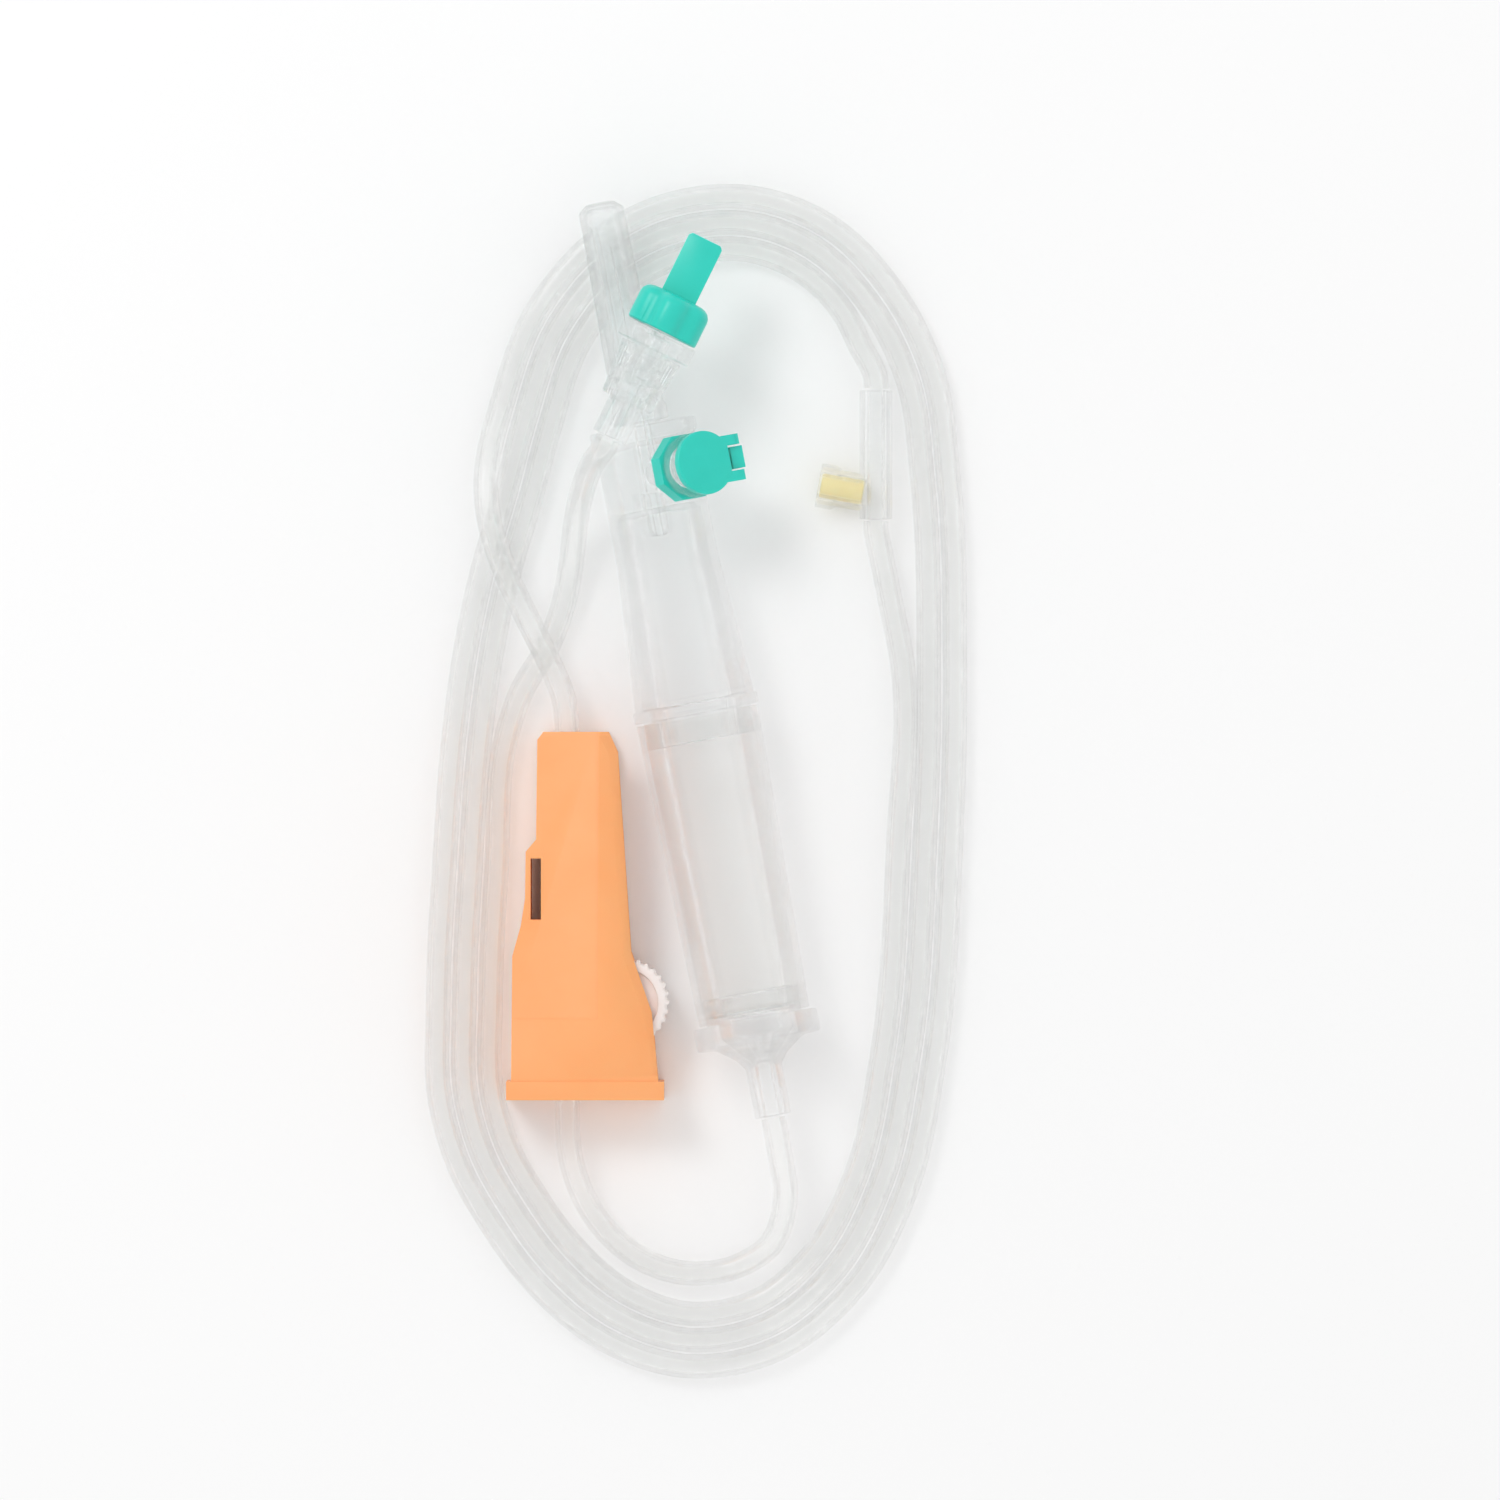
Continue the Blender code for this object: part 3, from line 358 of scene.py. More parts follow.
# Some seven lines round the tube, each about twenty steps of 2.5 mm long, and 0.008 mm deep
DIE_LINES = 7
LINE_LENGTH = 0.05
LINE_DEPTH = 0.008
run_map = node(tree, "ShaderNodeUVMap", {"uv_map": "run"})
drawn = node(
    tree,
    "ShaderNodeMapping",
    {"Scale": (DIE_LINES, LINE_LENGTH, 1)},
    {"Vector": run_map.outputs["UV"]},
)
lines = node(
    tree,
    "ShaderNodeTexNoise",
    {"noise_dimensions": "2D", "Scale": 1.0, "Detail": 0.0},
    {"Vector": drawn.outputs["Vector"]},
)
wavy = shader.inputs["Normal"].links[0].from_socket
lined = node(
    tree,
    "ShaderNodeBump",
    {"Strength": 1.0, "Distance": LINE_DEPTH * MM},
    {"Height": lines.outputs["Fac"], "Normal": wavy},
)
tree.links.new(lined.outputs["Normal"], shader.inputs["Normal"])
main_tube.data.materials.append(soft_pvc)
patient_tube.data.materials.append(soft_pvc)


# Drip chamber foot. A hard clear moulding: thick foot ring, funnel and the socket that
# the tubing is bonded into. It carries the fluid filter on a ledge inside.
def spun(name, profile, sides, at, body=None, slot=None, *nodes):
    # A closed outline of radius and height in millimetres, spun about the frame's Z
    bm = bmesh.new()
    rings = []
    for radius, height in profile:
        if radius < 1e-6:
            rings.append([bm.verts.new(at @ Vector((0, 0, height * MM)))])
            continue
        ring = []
        for i in range(sides):
            angle = 2 * math.pi * i / sides
            place = Vector((radius * math.cos(angle), radius * math.sin(angle), height)) * MM
            ring.append(bm.verts.new(at @ place))
        rings.append(ring)
    for low, high in zip(rings, rings[1:] + rings[:1]):
        for i in range(sides):
            j = (i + 1) % sides
            corners = [low[i % len(low)], low[j % len(low)], high[j % len(high)], high[i % len(high)]]
            corners = list(dict.fromkeys(corners))
            if len(corners) > 2:
                bm.faces.new(corners)
    return keep(name, bm, body, slot, *nodes)


def eased(profile, radius, steps=3):
    # Rounds the corners of an outline; corners on the axis stay
    out = []
    count = len(profile)
    for i in range(count):
        before, here, after = (Vector(profile[(i + k) % count]) for k in (-1, 0, 1))
        if here.x < 1e-6:
            out.append(tuple(here))
            continue
        reach = min(radius, (before - here).length * 0.45, (after - here).length * 0.45)
        start = here + (before - here).normalized() * reach
        end = here + (after - here).normalized() * reach
        for step in range(steps + 1):
            t = step / steps
            out.append(tuple(start * (1 - t) ** 2 + here * 2 * t * (1 - t) + end * t**2))
    return out


RING_RADIUS = 10.3
FOOT_SPIGOT = 7.85
ROUND_SIDES = 72
foot_profile = (
    (1.5, OUTLET_END),
    (3.0, OUTLET_END),
    (3.0, -4.2),
    (4.2, -2.5),
    (6.9, -0.5),
    (FOOT_SPIGOT, 0),
    (RING_RADIUS, 0),
    (RING_RADIUS, 3.8),
    (FOOT_SPIGOT, 3.8),
    (FOOT_SPIGOT, 8.2),
    (6.95, 8.2),
    (6.95, 4.7),
    (6.05, 4.7),
    (6.05, 1.5),
    (1.5, -3.6),
)
holder = spun(
    "filter_holder_moulding",
    eased(foot_profile, 0.4),
    ROUND_SIDES,
    CHAMBER,
    "set",
    "clear_hard",
    "filter_holder",
)

# Hard clear plastic is methyl methacrylate-styrene, moulded smooth, with flow marks too
# faint to show except where a highlight crosses them. Where the spike, its cap and the
# tubing cross, a line of sight meets some twenty clear walls, so light may pass that many.
scene.cycles.transparent_max_bounces = 32
clear_hard, tree, shader = plastic(
    "clear_acrylic_styrene",
    {
        "Base Color": linear("#FAFCFC"),
        "IOR": 1.54,
        "Transmission Weight": 1.0,
        "Alpha": 0.24,
        "Roughness": 0.04,
    },
)
noise = grain(tree, shader, 6.0, 0.006)
patchy(tree, shader, noise, 0.02, 0.07)
holder.data.materials.append(clear_hard)

FILTER_RADIUS = 6.6
FILTER_LOW, FILTER_HIGH = 5.0, 5.5
filter_profile = (
    (0, FILTER_LOW),
    (FILTER_RADIUS, FILTER_LOW),
    (FILTER_RADIUS, FILTER_HIGH),
    (0, FILTER_HIGH),
)
fluid_filter = spun(
    "fluid_filter_mesh",
    eased(filter_profile, 0.1),
    64,
    CHAMBER,
    "set",
    "filter_white",
    "fluid_filter",
)
# Woven nylon is white and matt, with its threads crossing squarely. They are drawn 0.25 mm
# apart, because the real 15 micron weave would not show.
THREAD_SPACING = 0.25
filter_mesh, tree, shader = plastic("woven_nylon", {"Base Color": linear("#F2F2EF"), "Roughness": 0.6})
where = node(tree, "ShaderNodeTexCoord")
weave = node(
    tree,
    "ShaderNodeTexChecker",
    {"Scale": 1 / (THREAD_SPACING * MM), "Color1": linear("#F6F6F4"), "Color2": linear("#DDDEDC")},
    {"Vector": where.outputs["Object"]},
)
tree.links.new(weave.outputs["Color"], shader.inputs["Base Color"])
fluid_filter.data.materials.append(filter_mesh)


# Drip chamber, lower half. Soft clear PVC sleeve that is squeezed to start the flow. It
# widens a little towards the top, and its ends are pushed over the two hard mouldings.
SOFT_LOW, SOFT_HIGH = 4.1, 54.3
SOFT_FOOT_RADIUS, SOFT_FLARE = 9.15, 0.95
SOFT_WALL = 1.0
SOFT_STEPS = 12
soft_outer = []
for i in range(SOFT_STEPS + 1):
    share = i / SOFT_STEPS
    height = SOFT_LOW + (SOFT_HIGH - SOFT_LOW) * i / SOFT_STEPS
    soft_outer.append((SOFT_FOOT_RADIUS + SOFT_FLARE * share**0.9, height))
soft_inner = [(radius - SOFT_WALL, height) for radius, height in reversed(soft_outer)]
sleeve = spun(
    "drip_chamber_sleeve",
    soft_outer + soft_inner,
    ROUND_SIDES,
    CHAMBER,
    "set",
    "clear_soft",
    "drip_chamber",
)
sleeve.data.materials.append(soft_pvc)


# Drip chamber, upper half. One hard clear moulding from the rim down into the sleeve up to
# the point of the spike, with the vent port on its side and the finger flange above it.
def settled(piece, body, slot, *nodes):
    # Works the Booleans in, removes the tools and shades the result
    graph = bpy.context.evaluated_depsgraph_get()
    mesh = bpy.data.meshes.new_from_object(piece.evaluated_get(graph))
    tools = [m.object for m in piece.modifiers if m.type == "BOOLEAN"]
    piece.modifiers.clear()
    piece.data = mesh
    for tool in tools:
        bpy.data.objects.remove(tool, do_unlink=True)
    mesh.shade_smooth()
    mesh.set_sharp_from_angle(angle=SMOOTH_BELOW)
    dress(piece, body, slot, *nodes)
    return piece


def carve(piece, operation, *tools):
    for tool in tools:
        modifier = piece.modifiers.new("carve", "BOOLEAN")
        modifier.operation = operation
        modifier.object = tool


def rod(name, radius, low, high, sides, at):
    return spun(name, ((0, low), (radius, low), (radius, high), (0, high)), sides, at)


def layered(name, rings, at, body=None, slot=None, *nodes):
    # Outlines of x, y points stacked at their heights
    bm = bmesh.new()
    loops = []
    for height, outline in rings:
        loops.append([bm.verts.new(at @ (Vector((x, y, height)) * MM)) for x, y in outline])
    for low, high in zip(loops, loops[1:]):
        for i in range(len(low)):
            j = (i + 1) % len(low)
            bm.faces.new((low[i], low[j], high[j], high[i]))
    bm.faces.new(loops[0][::-1])
    bm.faces.new(loops[-1])
    return keep(name, bm, body, slot, *nodes)


def oval(half_x, half_y, count):
    turn = 2 * math.pi / count
    return [(half_x * math.cos(i * turn), half_y * math.sin(i * turn)) for i in range(count)]


def box(name, low, high, at):
    outline = ((low[0], low[1]), (high[0], low[1]), (high[0], high[1]), (low[0], high[1]))
    return layered(name, ((low[2], outline), (high[2], outline)), at)


RIM_LOW = 54.6
BODY_LOW, BODY_HIGH = 56.4, 100.4
HUB_LOW = 88.9
FLANGE_HIGH = 102.8
SPIKE_HIGH = 136.8
VENT_HEIGHT = 94.4
VENT_TURN = math.radians(32.0)
housing_profile = (
    (7.6, RIM_LOW - 4.5),
    (8.8, RIM_LOW - 4.5),
    (8.8, RIM_LOW),
    (RING_RADIUS, RIM_LOW),
    (RING_RADIUS, BODY_LOW),
    (9.9, BODY_LOW + 0.2),
    (8.3, BODY_LOW + 24.0),
    (8.3, BODY_HIGH - 1.2),
    (7.1, BODY_HIGH),
    (3.1, BODY_HIGH),
    (3.1, FLANGE_HIGH + 3.0),
    (2.4, SPIKE_HIGH - 7.0),
    (2.4, SPIKE_HIGH),
    (0, SPIKE_HIGH),
    (0, HUB_LOW),
    (5.9, HUB_LOW),
    (7.1, HUB_LOW - 1.2),
    (7.1, BODY_LOW + 24.0),
    (8.7, BODY_LOW),
    (7.6, BODY_LOW),
)
VENT = CHAMBER @ Matrix.Translation((0, 0, VENT_HEIGHT * MM))
VENT = VENT @ Matrix.Rotation(VENT_TURN, 4, "Z") @ Matrix.Rotation(math.pi / 2, 4, "X")
away = Vector((math.sin(VENT_TURN), -math.cos(VENT_TURN), 0))
fluid_at = CHAMBER @ Matrix.Translation(away * -0.8 * MM)
air_at = CHAMBER @ Matrix.Translation(away * 1.5 * MM)
housing = spun("spike_housing_moulding", eased(housing_profile, 0.35), ROUND_SIDES, CHAMBER)
flange_rings = (
    (BODY_HIGH - 0.6, oval(8.2, 5.6, 72)),
    (BODY_HIGH + 0.2, oval(8.7, 6.1, 72)),
    (BODY_HIGH + 0.6, oval(8.8, 6.2, 72)),
    (FLANGE_HIGH - 0.5, oval(8.8, 6.2, 72)),
    (FLANGE_HIGH - 0.15, oval(8.65, 6.05, 72)),
    (FLANGE_HIGH, oval(8.3, 5.7, 72)),
)
flange = layered("finger_flange", flange_rings, CHAMBER)
boss = spun("vent_boss", eased(((0, 4), (3.3, 4), (3.3, 14.0), (0, 14.0)), 0.2), 48, VENT)
carve(housing, "UNION", boss, flange)
# The spike's point is cut off at a slant, 7 mm along it
slope = math.atan2(7.0, 4.8)
bevel_at = CHAMBER @ Matrix.Translation(Vector((-2.4, 0, SPIKE_HIGH - 0.4)) * MM)
bevel_at = bevel_at @ Matrix.Rotation(slope, 4, "Y")
carve(
    housing,
    "DIFFERENCE",
    rod("vent_bore", 2.0, 1.5, 15.0, 32, VENT),
    rod("fluid_bore", 1.0, HUB_LOW - 1, SPIKE_HIGH + 1, 24, fluid_at),
    rod("air_bore", 0.5, VENT_HEIGHT, SPIKE_HIGH + 1, 16, air_at),
    rod("nozzle_seat", 2.0, HUB_LOW - 1, HUB_LOW + 2.8, 32, fluid_at),
    box("point_bevel", (-21, -21, 0), (21, 21, 21), bevel_at),
)
settled(housing, "set", "clear_hard", "spike_housing")
housing.data.materials.append(clear_hard)

# The drop nozzle is a short clear tube, pressed into the roof of the chamber
nozzle_low = HUB_LOW - 4.5
nozzle_profile = (
    (0.7, nozzle_low),
    (1.3, nozzle_low),
    (1.7, nozzle_low + 1.0),
    (1.7, HUB_LOW + 2.5),
    (0.7, HUB_LOW + 2.5),
)
nozzle = spun(
    "drop_nozzle_tube", eased(nozzle_profile, 0.15), 40, fluid_at, "set", "clear_hard", "drop_nozzle"
)
nozzle.data.materials.append(clear_hard)


# Spike cap. A thin clear polyethylene sheath, moulded closed at the tip, with a thicker
# foot to pull it by. It is a little cloudier than the hard plastic.
def tinted(tree, shader, first, second, size):
    # The colour drifts between two tones, as it does where a melt fills a mould unevenly
    where = node(tree, "ShaderNodeTexCoord")
    noise = node(
        tree,
        "ShaderNodeTexNoise",
        {"Scale": 1 / (size * MM), "Detail": 3.0},
        {"Vector": where.outputs["Object"]},
    )
    tones = {"Color1": linear(first), "Color2": linear(second)}
    mixed = node(tree, "ShaderNodeMixRGB", tones, {"Fac": noise.outputs["Fac"]})
    tree.links.new(mixed.outputs["Color"], shader.inputs["Base Color"])


cap_low, cap_high = 103.1, 139.7
cap_profile = (
    (3.4, cap_low),
    (4.55, cap_low),
    (4.55, cap_low + 2.4),
    (4.2, cap_low + 3.0),
    (3.7, cap_high - 1.2),
    (2.3, cap_high),
    (0, cap_high),
    (0, cap_high - 0.8),
    (2.1, cap_high - 0.8),
    (2.9, cap_high - 1.8),
    (3.4, cap_low + 3.0),
)
spike_cap = spun(
    "spike_cap_sheath", eased(cap_profile, 0.3), 56, CHAMBER, "spike_cap", "clear_hard", "spike_cap"
)
# Thin low-density polyethylene is clear but soft in outline, with a satin skin
cap_clear, tree, shader = plastic(
    "clear_polyethylene",
    {
        "Base Color": linear("#F8FBFB"),
        "IOR": 1.51,
        "Transmission Weight": 1.0,
        "Alpha": 0.32,
        "Roughness": 0.2,
    },
)
tinted(tree, shader, "#F4F9F9", "#FBFDFD", 8.0)
noise = grain(tree, shader, 1.5, 0.006)
patchy(tree, shader, noise, 0.14, 0.28)
spike_cap.data.materials.append(cap_clear)


# Vent port. A white water-repellent membrane lies over the bore, held by a clear ring that
# is pressed over the boss.
membrane = spun(
    "vent_membrane_disc",
    eased(((0, 14.3), (3.3, 14.3), (3.3, 14.7), (0, 14.7)), 0.1),
    48,
    VENT,
    "set",
    "filter_white",
    "vent_membrane",
)
# Expanded PTFE film is pure white and quite matt, with a very fine felted surface
felt, tree, shader = plastic("ptfe_membrane", {"Base Color": linear("#F4F4F2"), "Roughness": 0.85})
grain(tree, shader, 0.15, 0.02)
membrane.data.materials.append(felt)
bezel_profile = ((3.6, 12.1), (5.2, 12.1), (5.2, 15.7), (2.0, 15.7), (2.0, 15.0), (3.6, 15.0))
bezel = spun("vent_bezel_ring", eased(bezel_profile, 0.2), 56, VENT, "set", "clear_hard", "vent_bezel")
bezel.data.materials.append(clear_hard)

# Vent collar. Teal polyethylene: an octagonal ring round the port with a strap that rises
# beside the clear ring and ends in the middle tab of the hinge.
COLLAR_LOW, COLLAR_HIGH = 9.2, 11.8
FLAP_RADIUS = 5.2
FLAP_LOW, FLAP_HIGH = 16.0, 17.2
HINGE_OUT, HINGE_RADIUS, HINGE_HEIGHT = 6.6, 0.8, 16.4
HINGE_HALF, MIDDLE_HALF = 3.8, 1.8
OCTAGON_HALF = 5.25
corner = OCTAGON_HALF / math.cos(math.pi / 8)
octagon = []
for i in range(8):
    angle = math.pi * (2 * i + 1) / 8
    octagon.append((corner * math.cos(angle), corner * math.sin(angle)))


def softened(piece, width, segments=3, angle=30):
    # A small round on every edge sharper than the angle
    modifier = piece.modifiers.new("round", "BEVEL")
    modifier.width = width * MM
    modifier.segments = segments
    modifier.limit_method = "ANGLE"
    modifier.angle_limit = math.radians(angle)


hinge_line = VENT @ Matrix.Translation(Vector((HINGE_OUT, 0, HINGE_HEIGHT)) * MM)
hinge_line = hinge_line @ Matrix.Rotation(math.pi / 2, 4, "X")
strap_half = MIDDLE_HALF
STRAP_OUT = 7.9
COLLAR_BORE = 3.6
collar = layered("vent_collar_ring", ((COLLAR_LOW, octagon), (COLLAR_HIGH, octagon)), VENT)
carve(
    collar,
    "UNION",
    box("strap_foot", (4.25, -strap_half, COLLAR_LOW), (STRAP_OUT, strap_half, COLLAR_HIGH), VENT),
    box("strap_riser", (5.5, -strap_half, COLLAR_HIGH - 0.3), (STRAP_OUT, strap_half, HINGE_HEIGHT), VENT),
    box("strap_tab", (5.3, -strap_half, FLAP_LOW), (8.3, strap_half, FLAP_HIGH), VENT),
)
carve(collar, "DIFFERENCE", rod("collar_bore", COLLAR_BORE, COLLAR_LOW - 1, COLLAR_HIGH + 1, 48, VENT))
softened(collar, 0.2)
settled(collar, "set", "teal", "vent_collar")

# Teal polyethylene is waxy: light sinks in a little, so edges and thin places look paler
teal, tree, shader = plastic(
    "teal_polyethylene",
    {
        "Base Color": linear("#1FCFBE"),
        "Roughness": 0.34,
        "IOR": 1.51,
        "Subsurface Weight": 0.25,
        "Subsurface Radius": (0.6, 1.0, 0.8),
        "Subsurface Scale": 1.2 * MM,
    },
)
tinted(tree, shader, "#1ACAB9", "#24D4C3", 4.0)
noise = grain(tree, shader, 0.35, 0.012)
patchy(tree, shader, noise, 0.28, 0.44)
collar.data.materials.append(teal)

# Vent flap. A flat teal disc that closes the clear ring, notched for the tab and with an
# ear on each side of it that turns about the hinge line.
flap_profile = ((FLAP_RADIUS, FLAP_LOW), (FLAP_RADIUS, FLAP_HIGH), (0, FLAP_HIGH), (0, FLAP_LOW))
flap = spun("vent_flap_disc", eased(flap_profile, 0.2), 72, VENT)
for side in (-1, 1):
    near, far = sorted((side * (MIDDLE_HALF + GAP), side * HINGE_HALF))
    ear = rod("flap_ear", HINGE_RADIUS, -far, -near, 32, hinge_line)
    arm = box("flap_arm", (1.4, near, FLAP_LOW + 0.3), (HINGE_OUT, far, FLAP_HIGH - 0.03), VENT)
    carve(flap, "UNION", ear, arm)
NOTCH_FROM = 4.7
notch_half = MIDDLE_HALF + GAP
notch_low = (NOTCH_FROM, -notch_half, FLAP_LOW - 1)
notch_high = (HINGE_OUT, notch_half, FLAP_HIGH + 1)
carve(flap, "DIFFERENCE", box("flap_notch", notch_low, notch_high, VENT))
softened(flap, 0.15, 2)
settled(flap, "vent_flap", "teal", "vent_flap")
flap.data.materials.append(teal)


# Roller clamp body. Orange polystyrene moulding: a trough whose side walls lie parallel to
# the table here, open to the right, with a flange at its lower end and a pocket for the
# used spike beside the trough.
CLAMP_PLACE = (-31.65, -71.2)
CLAMP = Matrix.Translation(Vector((CLAMP_PLACE[0] - ORIGIN[0], CLAMP_PLACE[1] - ORIGIN[1], 0)) * MM)
CLAMP_LENGTH = 60.2
CLAMP_THICK = 13.6
CLAMP_MIDDLE = 6.8
FLANGE_SIZE = (25.8, 3.0, CLAMP_THICK)
WALL_LOW, WALL_HIGH = 2.0, 11.6
BED = 7.6
TUBE_LANE = 9.95
PASSAGE_RADIUS = 2.35
GROOVE_RADIUS = 1.6
clamp_outline = (
    (0.8, 1.5),
    (1.0, 23.5),
    (2.4, 28.5),
    (3.1, 33.0),
    (3.2, 40.6),
    (4.9, 42.6),
    (5.1, CLAMP_LENGTH - 1.3),
    (6.1, CLAMP_LENGTH),
    (16.7, CLAMP_LENGTH),
    (18.2, CLAMP_LENGTH - 3.3),
    (20.4, 24.2),
    (23.8, 14.4),
    (25.0, 1.5),
)
# The open edge of each side wall is bevelled in a narrow band
EDGE_BAND = 1.4
BAND_DEPTH = 0.8
SIDE_INSET = 0.3


def open_edge(inset):
    line = ((16.7, CLAMP_LENGTH + 1), (16.7, CLAMP_LENGTH - 0.8), (18.2, CLAMP_LENGTH - 3.6))
    line += ((20.4, 23.9), (23.8, 14.1), (25.0, 4.0))
    return [(x - inset, y) for x, y in line] + [(28.0, 4.0), (28.0, CLAMP_LENGTH + 1)]


# From here up, the left part of each side face steps back by 0.2 mm
THIN_FROM = 13.2
thin_wall = (
    (-1.0, THIN_FROM),
    (15.0, THIN_FROM),
    (15.0, CLAMP_LENGTH + 1),
    (-1.0, CLAMP_LENGTH + 1),
)
ROLLER_START = Vector((19.4, 15.9))
ROLLER_END = Vector((16.1, 45.3))
clamp_rings = ((SIDE_INSET, clamp_outline), (CLAMP_THICK - SIDE_INSET, clamp_outline))
clamp = layered("clamp_body_moulding", clamp_rings, CLAMP)
flange = box("clamp_flange", (0, 0, 0), FLANGE_SIZE, CLAMP)
carve(clamp, "UNION", flange)
run = ROLLER_END - ROLLER_START
groove_outline = []
for far, first in ((0, 0.5), (run.length, -0.5)):
    for i in range(13):
        angle = math.pi * (first + i / 12)
        groove_outline.append((far + GROOVE_RADIUS * math.cos(angle), GROOVE_RADIUS * math.sin(angle)))
groove_at = CLAMP @ Matrix.Translation((ROLLER_START.x * MM, ROLLER_START.y * MM, 0))
groove_at = groove_at @ Matrix.Rotation(math.atan2(run.y, run.x), 4, "Z")
passage_at = CLAMP @ Matrix.Translation(Vector((TUBE_LANE, 0, CLAMP_MIDDLE)) * MM)
passage_at = passage_at @ Matrix.Rotation(math.pi / 2, 4, "X")
band_rings = [
    (SIDE_INSET + BAND_DEPTH, open_edge(-0.05)),
    (SIDE_INSET, open_edge(EDGE_BAND)),
    (-1.0, open_edge(EDGE_BAND + 2.0)),
]
band_rings_high = [(CLAMP_THICK - height, outline) for height, outline in band_rings]
groove_rings = ((WALL_LOW - 1, groove_outline), (WALL_HIGH + 1, groove_outline))
carve(
    clamp,
    "DIFFERENCE",
    box("trough", (BED, 8.0, WALL_LOW), (30, 65, WALL_HIGH), CLAMP),
    rod("tube_passage", PASSAGE_RADIUS, -9, 1, 40, passage_at),
    box("spike_pocket", (1.9, -1, 2.2), (6.6, 21.5, 11.4), CLAMP),
    box("wall_window", (4.0, 29.5, -1), (5.7, 39.5, 15), CLAMP),
    layered("stub_groove", groove_rings, groove_at),
    layered("band_low", band_rings[::-1], CLAMP),
    layered("band_high", band_rings_high, CLAMP),
    layered("thin_low", ((-1, thin_wall), (0.5, thin_wall)), CLAMP),
    layered("thin_high", ((CLAMP_THICK - 0.5, thin_wall), (15, thin_wall)), CLAMP),
)
softened(clamp, 0.25)
settled(clamp, "set", "orange", "clamp_body")
# Coloured polystyrene from a finely eroded tool: satin all over, its colour a touch uneven
# where the melt flowed, and glowing a little at thin edges
orange, tree, shader = plastic(
    "orange_polystyrene",
    {
        "Base Color": linear("#FFAD6C"),
        "Roughness": 0.4,
        "IOR": 1.55,
        "Subsurface Weight": 0.2,
        "Subsurface Radius": (1.0, 0.5, 0.25),
        "Subsurface Scale": 1.5 * MM,
    },
)
tinted(tree, shader, "#FFA764", "#FFB374", 9.0)
noise = grain(tree, shader, 0.4, 0.012)
patchy(tree, shader, noise, 0.34, 0.5)
clamp.data.materials.append(orange)

# Clamp roller. A milky polypropylene wheel with a knurled rim; its two stubs run in the
# grooves of the side walls, so it climbs towards the tube as it is rolled up.
ROLLER_RADIUS = 7.2
TEETH = 30
ROLLER = CLAMP @ Matrix.Translation(Vector((ROLLER_START.x, ROLLER_START.y, CLAMP_MIDDLE)) * MM)


def toothed(radius, teeth, depth, steps=6):
    # Teeth with flattened tops and roots round a wheel
    outline = []
    for i in range(teeth * steps):
        angle = 2 * math.pi * i / (teeth * steps)
        wave = max(-0.6, min(0.6, math.cos(teeth * angle))) / 0.6
        reach = radius + depth / 2 * (wave - 1)
        outline.append((reach * math.cos(angle), reach * math.sin(angle)))
    return outline


half = 4.5
roller_rings = (
    (-half, toothed(ROLLER_RADIUS - 0.8, TEETH, 0.05)),
    (-half + 0.1, toothed(ROLLER_RADIUS - 0.45, TEETH, 0.2)),
    (-half + 0.5, toothed(ROLLER_RADIUS, TEETH, 0.35)),
    (half - 0.5, toothed(ROLLER_RADIUS, TEETH, 0.35)),
    (half - 0.1, toothed(ROLLER_RADIUS - 0.45, TEETH, 0.2)),
    (half, toothed(ROLLER_RADIUS - 0.8, TEETH, 0.05)),
)
roller = layered("clamp_roller_wheel", roller_rings, ROLLER)
STUB_RADIUS, STUB_END = 1.3, 5.5
stub_profile = ((0, -STUB_END), (STUB_RADIUS, -STUB_END), (STUB_RADIUS, STUB_END), (0, STUB_END))
carve(roller, "UNION", spun("roller_stubs", eased(stub_profile, 0.2), 32, ROLLER))
dish = ((3.0, half - 0.7), (5.4, half - 0.7), (5.6, half + 1), (2.8, half + 1))
dish_low = tuple((radius, -height) for radius, height in reversed(dish))
carve(roller, "DIFFERENCE", spun("dish_top", dish, 64, ROLLER), spun("dish_low", dish_low, 64, ROLLER))
settled(roller, "roller", "white_hard", "clamp_roller")
# Uncoloured polypropylene is milky: light goes deep into it, so it has hardly any shading
milky, tree, shader = plastic(
    "milky_polypropylene",
    {
        "Base Color": linear("#F8EDE9"),
        "Roughness": 0.4,
        "IOR": 1.49,
        "Subsurface Weight": 0.5,
        "Subsurface Radius": (1.0, 0.9, 0.85),
        "Subsurface Scale": 2.5 * MM,
    },
)
tinted(tree, shader, "#F5E6E1", "#FBF3F0", 3.0)
noise = grain(tree, shader, 0.5, 0.01)
patchy(tree, shader, noise, 0.34, 0.5)
roller.data.materials.append(milky)


# Injection site. A clear hard tee: the tubing is bonded into both ends of its run, and the
# branch holds a yellow latex-free rubber plug that a needle goes through.
SITE = standing(*SITE_AT, 0)
BRANCH = SITE @ Matrix.Rotation(math.radians(-80.0), 4, "Y")
RUN_RADIUS = 2.7
BRANCH_RADIUS = 3.1
BRANCH_LENGTH = 9.6
CUP_RADIUS = 3.7
PLUG_RADIUS = 2.0
PLUG_LOW, PLUG_HIGH = 2.2, 9.2
site_profile = ((0, -SITE_DOWN), (RUN_RADIUS, -SITE_DOWN), (RUN_RADIUS, SITE_UP), (0, SITE_UP))
site = spun("site_body_tee", eased(site_profile, 0.3), 56, SITE)
branch_profile = (
    (0, 0),
    (2.6, 0),
    (BRANCH_RADIUS, RUN_RADIUS),
    (BRANCH_RADIUS, 6.2),
    (CUP_RADIUS, 6.8),
    (CUP_RADIUS, BRANCH_LENGTH),
    (0, BRANCH_LENGTH),
)
carve(site, "UNION", spun("site_branch", eased(branch_profile, 0.25), 56, BRANCH))
